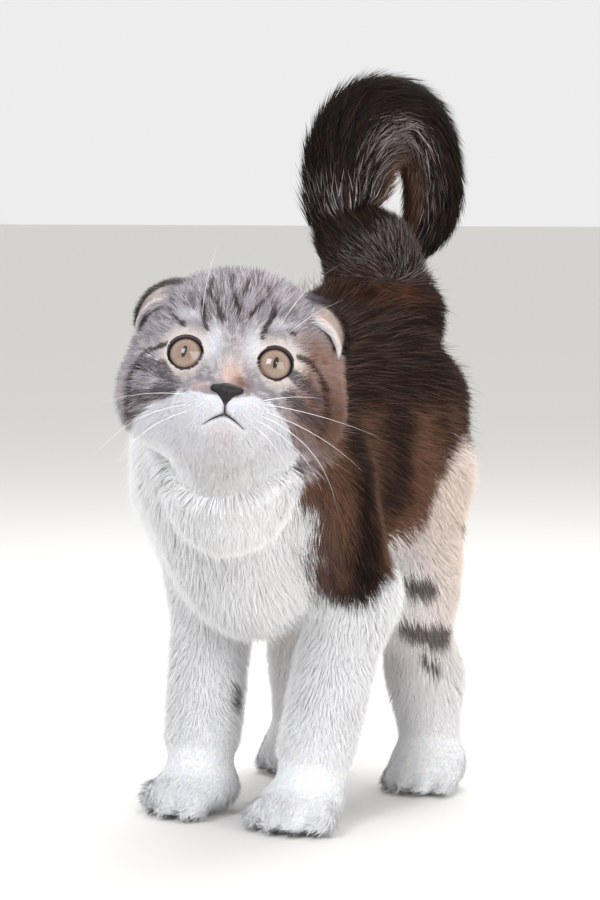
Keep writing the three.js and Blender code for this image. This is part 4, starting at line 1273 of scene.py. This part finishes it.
def tail_coat(roots):
    """The tail's long tufts, which follow its curve and reach out to the outline of its coat."""
    stations = np.linspace(0, 1.3, 261)
    places = tail_place(stations)
    reach = np.concatenate([[0], np.cumsum(np.linalg.norm(np.diff(places, axis=0), axis=-1))])
    t, _ = tail_station(roots)
    centre = tail_place(t)
    out = roots - centre
    radius = np.linalg.norm(out, axis=-1)
    count = len(roots)
    chance = DRAW.random(count)
    outside = tail_thick(np.minimum(t, 1))
    length = np.clip(6 + (outside - radius) * DRAW.uniform(0.9, 1.6, count), 5, 17)
    length = np.where(t > 0.85, np.minimum(length, 13), length)
    wide = (0.14 + 0.012 * length) * DRAW.uniform(0.75, 1.25, count)
    inward = -(unit(out) * unit(centre - np.array(TAIL["middle"], float))).sum(-1)
    goal = DRAW.uniform(0.72, 1.08, count)
    goal = goal * (1 + 0.3 * smooth(0, 0.8, inward) * (1 - smooth(0.4, 0.5, t)))
    spin = ripples(roots, 9, 15) * 0.22 + DRAW.normal(0, 0.13, count)
    path = []
    for u, rise in ((0, 0), (TUFT_BEND, 0.72), (1, 1)):
        far = np.interp(np.interp(t, stations, reach) + length * u, reach, stations)
        way = unit(tail_place(far + 0.01) - tail_place(far - 0.01))
        ray = unit(out - way * (out * way).sum(-1, keepdims=True))
        ray = unit(ray + np.cross(way, ray) * (spin * u)[:, None])
        wanted = tail_thick(np.clip(far, 0, 1)) * goal
        at = radius * 0.96 + np.maximum(wanted - radius, 0.5) * rise
        place = tail_place(far) + ray * at[:, None]
        if u == TUFT_BEND:
            side = np.cross(ray, way)
            lift = ray
        if u == 1:
            # The ends straighten, so that some stand off the curve
            straight = path[1] + (path[1] - path[0]) * ((1 - TUFT_BEND) / TUFT_BEND) * 0.8
            place = place + (straight - place) * DRAW.uniform(0, 0.35, count)[:, None]
        path.append(place)
    seen = path[1] * 0.5 + path[2] * 0.5
    tone = coat_colour(seen, regions(seen), chance)
    tone = tone * np.exp(DRAW.normal(0, 0.16, count))[:, None]
    # The tufts' roots carry painted shade
    root_tone, tone = tuft_tones(tone, 0.7)
    tones = [root_tone, tone, tone]
    pieces = []
    parts = {"coat_tail_root": (-1, 0.22), "coat_tail_rise": (0.22, 0.5), "coat_tail_bend": (0.5, 2)}
    for name, (start, end) in parts.items():
        at = DRAW.permutation(np.flatnonzero((t > start) & (t <= end)))
        at = np.sort(at[: PIECE_FACES // 6])
        pieces.append(chosen_tufts(name, at, roots, path, side, lift, [wide, wide, wide], tones))
    return pieces


def ear_coat(name, side):
    """Short tufts on the outside of one ear, standing at its crest, and a fringe on its edge."""
    count = EAR_TUFTS
    u, v = DRAW.random(count), DRAW.random(count) ** 0.9 * EAR["free"]
    step = 0.01
    roots = ear_place(side, u, v)
    along = unit(ear_place(side, np.minimum(u + step, 1), v) - ear_place(side, np.maximum(u - step, 0), v))
    down = unit(ear_place(side, u, v + step) - ear_place(side, u, v - step))
    up = unit(np.cross(down, along)) * side
    crest = EAR["crest"][side]
    fringe = smooth(0.68, 0.78, v)
    stands = 1 - smooth(crest - 0.05, crest + 0.05, v)
    way = unit(down * (0.75 - 0.3 * fringe)[:, None] + along * (0.25 + 0.8 * fringe)[:, None])
    way = unit(way + np.cross(up, way) * DRAW.normal(0, 0.16, count)[:, None])
    length = (2.2 + 1.8 * stands + 3.2 * fringe) * DRAW.uniform(0.75, 1.25, count)
    height = (0.6 + 1.5 * stands + 0.2 * fringe) * DRAW.uniform(0.6, 1.1, count)
    wide = 0.13 + 0.018 * length
    chance = DRAW.random(count)
    tone = ear_colour(side, u, v, chance) * np.exp(DRAW.normal(0, 0.12, count))[:, None]
    path = [roots - up * 0.4, roots + way * length[:, None] + up * height[:, None]]
    places = 0.01 + 0.98 * np.stack([u, v], -1)
    # The tufts' roots carry painted shade
    return tuft_mesh(name, path, np.cross(up, way), up, [wide, wide], tuft_tones(tone, 0.7), places)


def make_eye(name, side):
    """An eyeball with its iris, slit pupil and rim, on a polar net about the way it looks."""
    middle, axes = eye_frame(side)
    middle = from_head(middle)
    look = HEAD_TURN @ axes @ (0, -1.0, 0)
    upward = HEAD_TURN @ axes @ (0, 0, 1.0)
    across = np.cross(upward, look)
    rings, spokes = 100, 96
    angle = np.linspace(0.006, math.pi * 0.62, rings)
    turn = np.arange(spokes) * 2 * math.pi / spokes
    a, s = np.meshgrid(angle, turn, indexing="ij")
    a, s = np.append(0, a.ravel()), np.append(0, s.ravel())
    radius = EYE["radius"] - 0.1 + 0.6 * np.exp(-((a / 0.42) ** 2))
    x, z = np.sin(a) * np.cos(s), np.sin(a) * np.sin(s)
    corners = across * x[:, None] + upward * z[:, None] + look * np.cos(a)[:, None]
    corners = middle + corners * radius[:, None]
    grid = 1 + np.arange(rings * spokes).reshape(rings, spokes)
    after = np.roll(grid, -1, 1)
    quads = np.stack([grid[:-1], grid[1:], after[1:], after[:-1]], -1).reshape(-1, 4)
    fan = np.stack([np.zeros(spokes, int), grid[0], after[0]], -1)
    x, z = x * EYE["radius"], z * EYE["radius"]
    far = np.hypot(x, z)
    fibre = np.sin(s * 37 + np.sin(s * 11) * 2) * 0.5 + np.sin(s * 61 + 1) * 0.5
    colour = np.broadcast_to(linear("#846e5f"), (len(x), 3)).copy()
    colour = over(colour, linear("#9c8575"), smooth(1.6, 4.0, far) * (0.55 + 0.3 * fibre))
    colour = over(colour, linear("#80664f"), (1 - smooth(0.8, 2.6, far)) * 0.6)
    # The dark outer ring of the iris, twice as dark at the top: painted shade under the upper lid
    colour = over(colour, linear("#4b382d"), smooth(4.2, 5.2, far) * (0.5 + 0.5 * smooth(-2, 4, z)))
    colour = over(colour, linear("#140d0b"), smooth(5.0, 5.6, far))
    # The white shows only as a sliver in the inner corner, painted pale blue as lit in the right eye and
    # dark brown as shaded in the left.
    inner = np.clip(-(x * side * 0.86 + z * 0.5) / np.maximum(far, 1), 0, 1)
    white = smooth(5.85, 6.15, far) * smooth(0.8, 0.92, inner)
    # Painted light in the right eye and painted shade in the left
    colour = over(colour, linear("#a9b3d6" if side < 0 else "#6b4a47"), white)
    pupil = np.hypot((x - 0.12 * z) / 0.85, z / 2.05)
    colour = over(colour, np.zeros(3), 1 - smooth(0.9, 1.1, pupil))
    piece = mesh_object("eyeball_" + name, corners, [quads, fan], EYE_GLOSS)
    paint(piece, colour)
    return piece


def eye_material():
    """A wet cornea over the iris: smooth and clear, so that the lamps show in it as sharp windows."""
    material, nodes, shader = new_material("wet eye")
    tone = add(nodes, "ShaderNodeAttribute", {"attribute_name": "coat"})
    material.node_tree.links.new(tone.outputs["Color"], shader.inputs["Base Color"])
    shader.inputs["Roughness"].default_value = 0.18
    shader.inputs["IOR"].default_value = 1.376
    shader.inputs["Coat Weight"].default_value = 1.0
    shader.inputs["Coat Roughness"].default_value = 0.02
    shader.inputs["Coat IOR"].default_value = 1.5
    return material


EYE_GLOSS = eye_material()


def nose_material():
    """Nose leather: moist black skin with fine pebbles about 0.35 mm across."""
    material, nodes, shader = new_material("nose leather")
    links = material.node_tree.links
    place = add(nodes, "ShaderNodeTexCoord")
    pebbles = add(
        nodes,
        "ShaderNodeTexVoronoi",
        {"feature": "SMOOTH_F1"},
        Vector=place.outputs["Object"],
        Scale=2600.0,
    )
    tone = add(nodes, "ShaderNodeMix", {"data_type": "RGBA"})
    links.new(pebbles.outputs["Distance"], tone.inputs["Factor"])
    tone.inputs["A"].default_value = (*linear("#1c191a"), 1)
    tone.inputs["B"].default_value = (*linear("#0f0d0e"), 1)
    links.new(tone.outputs["Result"], shader.inputs["Base Color"])
    relief = add(
        nodes,
        "ShaderNodeBump",
        {"invert": True},
        Height=pebbles.outputs["Distance"],
        Strength=0.35,
        Distance=0.0003,
    )
    links.new(relief.outputs["Normal"], shader.inputs["Normal"])
    shader.inputs["Roughness"].default_value = 0.5
    shader.inputs["Specular IOR Level"].default_value = 0.35
    return material


def lip_material():
    """Lid rims and lips: moist dark skin, nearly smooth."""
    material, nodes, shader = new_material("moist dark skin")
    links = material.node_tree.links
    place = add(nodes, "ShaderNodeTexCoord")
    grain = add(nodes, "ShaderNodeTexNoise", Vector=place.outputs["Object"], Scale=1800.0, Detail=2.0)
    tone = add(nodes, "ShaderNodeMix", {"data_type": "RGBA"})
    links.new(grain.outputs["Fac"], tone.inputs["Factor"])
    tone.inputs["A"].default_value = (*linear("#1d1213"), 1)
    tone.inputs["B"].default_value = (*linear("#2c1b1d"), 1)
    links.new(tone.outputs["Result"], shader.inputs["Base Color"])
    shader.inputs["Roughness"].default_value = 0.45
    return material


NOSE_LEATHER = nose_material()
MOIST_SKIN = lip_material()


def rope(name, places, radii, sides, ring, material):
    """A round bar or ring that follows a list of places, in the head's frame."""
    places = from_head(places)
    if ring:
        way = unit(np.roll(places, -1, 0) - np.roll(places, 1, 0))
    else:
        way = unit(np.gradient(places, axis=0))
    first = unit(np.cross((0.31, 0.95, 0.05), way))
    second = np.cross(way, first)
    angle = np.arange(sides) * 2 * math.pi / sides
    turn = angle[None, :, None]
    circle = first[:, None] * np.cos(turn) + second[:, None] * np.sin(turn)
    corners = places[:, None] + circle * np.asarray(radii, float)[:, None, None]
    count = len(places)
    grid = np.arange(count * sides).reshape(count, sides)
    rows = grid if ring else grid[:-1]
    after = np.roll(grid, -1, 0) if ring else grid[1:]
    faces = np.stack([rows, np.roll(rows, -1, 1), np.roll(after, -1, 1), after], -1)
    return mesh_object(name, corners.reshape(-1, 3), [faces.reshape(-1, 4)], material)


def whisker_nodes():
    """Turns paths of edges into tapered round hairs."""
    tree = bpy.data.node_groups.new("tapered whiskers", "GeometryNodeTree")
    face = tree.interface
    face.new_socket("Geometry", in_out="INPUT", socket_type="NodeSocketGeometry")
    thick = face.new_socket("root radius", in_out="INPUT", socket_type="NodeSocketFloat")
    sides = face.new_socket("sides", in_out="INPUT", socket_type="NodeSocketInt")
    worn = face.new_socket("hair", in_out="INPUT", socket_type="NodeSocketMaterial")
    face.new_socket("Geometry", in_out="OUTPUT", socket_type="NodeSocketGeometry")
    nodes = tree.nodes
    given = nodes.new("NodeGroupInput")
    curves = add(nodes, "GeometryNodeMeshToCurve", Mesh=given.outputs["Geometry"])
    along = nodes.new("GeometryNodeSplineParameter")
    left = add(nodes, "ShaderNodeMath", {"operation": "SUBTRACT"})
    left.inputs[0].default_value = 1.04
    tree.links.new(along.outputs["Factor"], left.inputs[1])
    radius = add(nodes, "ShaderNodeMath", {"operation": "MULTIPLY"})
    tree.links.new(left.outputs[0], radius.inputs[0])
    tree.links.new(given.outputs["root radius"], radius.inputs[1])
    circle = add(nodes, "GeometryNodeCurvePrimitiveCircle", Resolution=given.outputs["sides"], Radius=1.0)
    tubes = add(
        nodes,
        "GeometryNodeCurveToMesh",
        Curve=curves.outputs["Curve"],
        Profile_Curve=circle.outputs["Curve"],
        Scale=radius.outputs[0],
        Fill_Caps=True,
    )
    real = add(nodes, "GeometryNodeRealizeInstances", Geometry=tubes.outputs["Mesh"])
    made = add(
        nodes,
        "GeometryNodeSetMaterial",
        Geometry=real.outputs["Geometry"],
        Material=given.outputs["hair"],
    )
    result = nodes.new("NodeGroupOutput")
    tree.links.new(made.outputs["Geometry"], result.inputs["Geometry"])
    return tree, {"radius": thick.identifier, "sides": sides.identifier, "hair": worn.identifier}


def whisker_path(root, bend, tip, steps=14):
    """A curved hair in the head's frame, from the skin to its tip."""
    t = np.linspace(0, 1, steps)[:, None]
    root, bend, tip = (np.array(v, float) for v in (root, bend, tip))
    return root * (1 - t) ** 2 + bend * 2 * t * (1 - t) + tip * t * t


def make_whiskers(name, paths, radius):
    """One mesh of hairs. radius is in millimetres at the root."""
    count = len(paths[0])
    corners = placed(from_head(np.concatenate(paths)))
    starts = [n for n in range(len(corners)) if n % count < count - 1]
    mesh = bpy.data.meshes.new(name)
    mesh.from_pydata(corners.tolist(), [(n, n + 1) for n in starts], [])
    piece = bpy.data.objects.new(name, mesh)
    bpy.context.scene.collection.objects.link(piece)
    tree, sockets = whisker_nodes()
    modifier = piece.modifiers.new("whiskers", "NODES")
    modifier.node_group = tree
    modifier[sockets["radius"]] = radius / 1000
    modifier[sockets["sides"]] = 6
    modifier[sockets["hair"]] = WHISKER_HAIR
    seen = piece.evaluated_get(bpy.context.evaluated_depsgraph_get())
    plain = bpy.data.meshes.new_from_object(seen)
    piece.modifiers.clear()
    piece.data = plain
    plain.polygons.foreach_set("use_smooth", np.full(len(plain.polygons), True))
    return piece


def whisker_material():
    """Whiskers: thick white horn-like hair with a soft gloss."""
    material, _, shader = new_material("whisker hair")
    shader.inputs["Base Color"].default_value = (*linear("#f4f3f2"), 1)
    shader.inputs["Roughness"].default_value = 0.35
    return material


WHISKER_HAIR = whisker_material()

# Each long hair of the face: its root across and up the face, and its bend and tip
WHISKERS = [
    ((9.5, -21.5), (34, -33, -19.5), (54, -12, -20.5)),
    ((10.5, -23.5), (33, -33, -25), (50, -18, -35)),
    ((11, -25), (36, -32, -29), (43, -20, -51)),
    ((9, -26.5), (29, -35, -31), (37, -26, -46)),
    ((7.5, -27.5), (20, -36, -32), (26, -30, -44)),
    ((12, -20.5), (24, -37, -15), (34, -30, -14)),
    ((-10.5, -24.5), (-33, -33, -27), (-44, -20, -43)),
    ((-9, -26), (-28, -35, -31), (-36, -24, -46)),
    ((-10, -21.5), (-30, -34, -19), (-45, -19, -23)),
]
BROW_HAIRS = [
    ((14, 6.5), (20, -40, 22), (33, -22, 38)),
    ((17, 6), (25, -38, 14), (36, -26, 24)),
    ((-12, 7), (-13, -40, 22), (-10, -27, 41)),
]


# Camera: where the photograph was taken from. FOCAL and the two offsets are in picture dots

AZIMUTH = math.radians(34)
FORWARD_FLAT = np.array([-math.sin(AZIMUTH), math.cos(AZIMUTH), 0])
RIGHT_FLAT = np.array([math.cos(AZIMUTH), math.sin(AZIMUTH), 0])
FOCAL = 2650.0
PICTURE_HIGH = 900
CAMERA_PLACE = np.array([6.5, -40, 0]) - FORWARD_FLAT * 1000 + (0, 0, 236)
YAW = math.atan(54.5 / FOCAL)
PITCH = math.atan(241.5 / FOCAL)
LEVEL = math.cos(YAW) * FORWARD_FLAT + math.sin(YAW) * RIGHT_FLAT
CAMERA_RIGHT = math.cos(YAW) * RIGHT_FLAT - math.sin(YAW) * FORWARD_FLAT
CAMERA_WAY = math.cos(PITCH) * LEVEL - (0, 0, math.sin(PITCH))
CAMERA_UP = np.cross(CAMERA_RIGHT, CAMERA_WAY)


def make_camera():
    """The photograph's view, with the whole kitten sharp."""
    data = bpy.data.cameras.new("camera")
    data.sensor_fit = "VERTICAL"
    data.sensor_height = 36
    data.lens = FOCAL / PICTURE_HIGH * data.sensor_height
    data.clip_start = 0.05
    data.clip_end = 50
    camera = bpy.data.objects.new("camera", data)
    matrix = np.eye(4)
    matrix[:3, 0] = CAMERA_RIGHT
    matrix[:3, 1] = CAMERA_UP
    matrix[:3, 2] = -CAMERA_WAY
    matrix[:3, 3] = placed(CAMERA_PLACE)
    camera.matrix_world = Matrix(matrix.tolist())
    bpy.context.scene.collection.objects.link(camera)
    bpy.context.scene.camera = camera


def make_lamp(name, place, aim, size, power, colour):
    """A soft box: place and aim are in design millimetres, size in metres."""
    data = bpy.data.lights.new(name, "AREA")
    data.shape = "RECTANGLE"
    data.size = size[0]
    data.size_y = size[1]
    data.energy = power
    data.color = linear(colour)
    lamp = bpy.data.objects.new(name, data)
    lamp.location = placed(place)
    toward = Vector(placed(aim)) - lamp.location
    lamp.rotation_euler = toward.to_track_quat("-Z", "Y").to_euler()
    bpy.context.scene.collection.objects.link(lamp)


def glint_lamp(aside, above):
    """The way to a lamp that shows in the eyes this far beside and above the pupil."""
    ways = []
    for side in SIDES.values():
        middle, axes = eye_frame(side)
        look = HEAD_TURN @ axes @ (0, -1.0, 0)
        facing = unit(look * 7.5 + CAMERA_RIGHT * aside + CAMERA_UP * above)
        view = unit(CAMERA_PLACE - from_head(middle))
        ways.append(2 * (facing @ view) * facing - view)
    return unit(np.mean(ways, 0))


def make_studio():
    """Soft light from windows on both sides of the camera, over pale paper."""
    world = bpy.data.worlds.new("studio")
    world.use_nodes = True
    sky = world.node_tree.nodes["Background"]
    sky.inputs["Color"].default_value = (*linear("#f1f1f1"), 1)
    sky.inputs["Strength"].default_value = 0.96
    scene = bpy.context.scene
    scene.world = world
    scene.view_settings.view_transform = "Standard"
    head = np.array(HEAD["middle"], float)
    middle = (0, 0, 140)
    make_lamp("key window", head + glint_lamp(-1.7, 0.3) * 1150, middle, (0.42, 0.62), 7.5, "#f2f6ff")
    make_lamp("small glint", head + glint_lamp(1.5, -0.5) * 1100, head, (0.1, 0.1), 0.6, "#ffffff")
    fill = CAMERA_PLACE * 0.9 + CAMERA_RIGHT * 820 + (0, 0, 160)
    make_lamp("fill", fill, (0, 0, 80), (0.9, 0.9), 8, "#f8f6f4")
    make_lamp("back rim", (-100, 420, 900), middle, (0.8, 0.5), 7, "#ffffff")
    mesh = bpy.data.meshes.new("floor")
    size = 30.0
    mesh.from_pydata(
        [(-size, -size, 0), (size, -size, 0), (size, size, 0), (-size, size, 0)], [], [(0, 1, 2, 3)]
    )
    floor = bpy.data.objects.new("floor", mesh)
    # Matt paper: an even pale ground with no gloss
    material, _, shader = new_material("pale studio paper")
    shader.inputs["Base Color"].default_value = (*linear("#e2e0dc"), 1)
    shader.inputs["Roughness"].default_value = 0.9
    mesh.materials.append(material)
    scene.collection.objects.link(floor)


# Making it all

make_camera()
make_studio()

skin_corners, skin_faces = make_skin()
skin_normals = corner_normals(skin_corners, skin_faces)
outside = skin_corners + skin_normals * np.maximum(-body_form(skin_corners), 0)[:, None]
tones = coat_colour(outside, regions(outside), np.full(len(outside), 0.5))
# The skin takes the markings with painted shade: half as bright under the dark coat, nearly the same under
# the white
shaded_skin_tones, _ = tuft_tones(tones, 0.5)
all_corners, all_faces, all_tones = [skin_corners], [skin_faces], [shaded_skin_tones]
for ear_side in SIDES.values():
    ear_corners, ear_faces, ear_marks, is_inner = ear_sheet(ear_side)
    ear_tones = ear_colour(ear_side, ear_marks[:, 0], ear_marks[:, 1], np.full(len(ear_marks), 0.5))
    ear_tones = np.where(is_inner[:, None], linear("#8d6c5f"), ear_tones)
    all_faces.append(ear_faces + sum(len(part) for part in all_corners))
    all_corners.append(ear_corners)
    all_tones.append(ear_tones)
skin = mesh_object("skin", np.concatenate(all_corners), all_faces, SKIN)
paint(skin, np.concatenate(all_tones))
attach(skin, "root")
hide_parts(*FLESH)

tuft_roots, tuft_ups = drawn_roots(
    skin_corners, skin_faces, skin_normals, hidden_ends(skin_corners, skin_faces)
)
shares = regions(tuft_roots)
from_middle = np.linalg.norm(tuft_roots - tail_place(tail_station(tuft_roots)[0]), axis=-1)
on_tail = (shares.argmax(-1) == REGIONS.index("tail")) & (from_middle < TAIL_ROOTS)
coats = body_coat(tuft_roots[~on_tail], tuft_ups[~on_tail], shares[~on_tail])
coats += tail_coat(tuft_roots[on_tail])
coats += [ear_coat("coat_ear_" + name, side) for name, side in SIDES.items()]
for piece in coats:
    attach(piece, "root")

for eye_name, eye_side in SIDES.items():
    eye = make_eye(eye_name, eye_side)
    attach(eye, "root")
    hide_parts("eye_" + eye_name)
    around = np.linspace(0, 2 * math.pi, 73)[:-1]
    rim = rope(
        "lid_rim_" + eye_name,
        lid_places(eye_side, around, EYE["radius"] + 0.3),
        0.62 + 0.14 * np.sin(around),
        10,
        True,
        MOIST_SKIN,
    )
    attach(rim, "root")

nose_cell = 0.28
nose_walls = [
    spaced((-8, 8, nose_cell)),
    NOSE_MIDDLE[1] + spaced((-5, 5, nose_cell)),
    NOSE_MIDDLE[2] + spaced((-8, 6, nose_cell)),
]
nose_corners, nose_faces = net(nose_form, nose_walls)
nose_corners = settled(nose_form, nose_corners, nose_faces, 2, 0.2)
nose = mesh_object("nose_leather", from_head(nose_corners), [nose_faces], NOSE_LEATHER)
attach(nose, "root")
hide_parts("nose")

for number, path in enumerate(MOUTH_PATHS):
    taper = np.linspace(0.42, 0.1, len(path)) if number < 2 else np.full(len(path), 0.32)
    lip = rope("lip_line_" + str(number + 1), path - (0, 0.1, 0), taper, 8, False, MOIST_SKIN)
    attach(lip, "root")

for name, hairs, root_radius in (("whiskers", WHISKERS, 0.12), ("brow_hairs", BROW_HAIRS, 0.07)):
    paths = []
    for (x, z), bend, tip in hairs:
        root = (x, float(face_at(x, z, skin_of_head)) + 0.5, z)
        paths.append(whisker_path(root, bend, tip))
    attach(make_whiskers(name, paths, root_radius), "root")
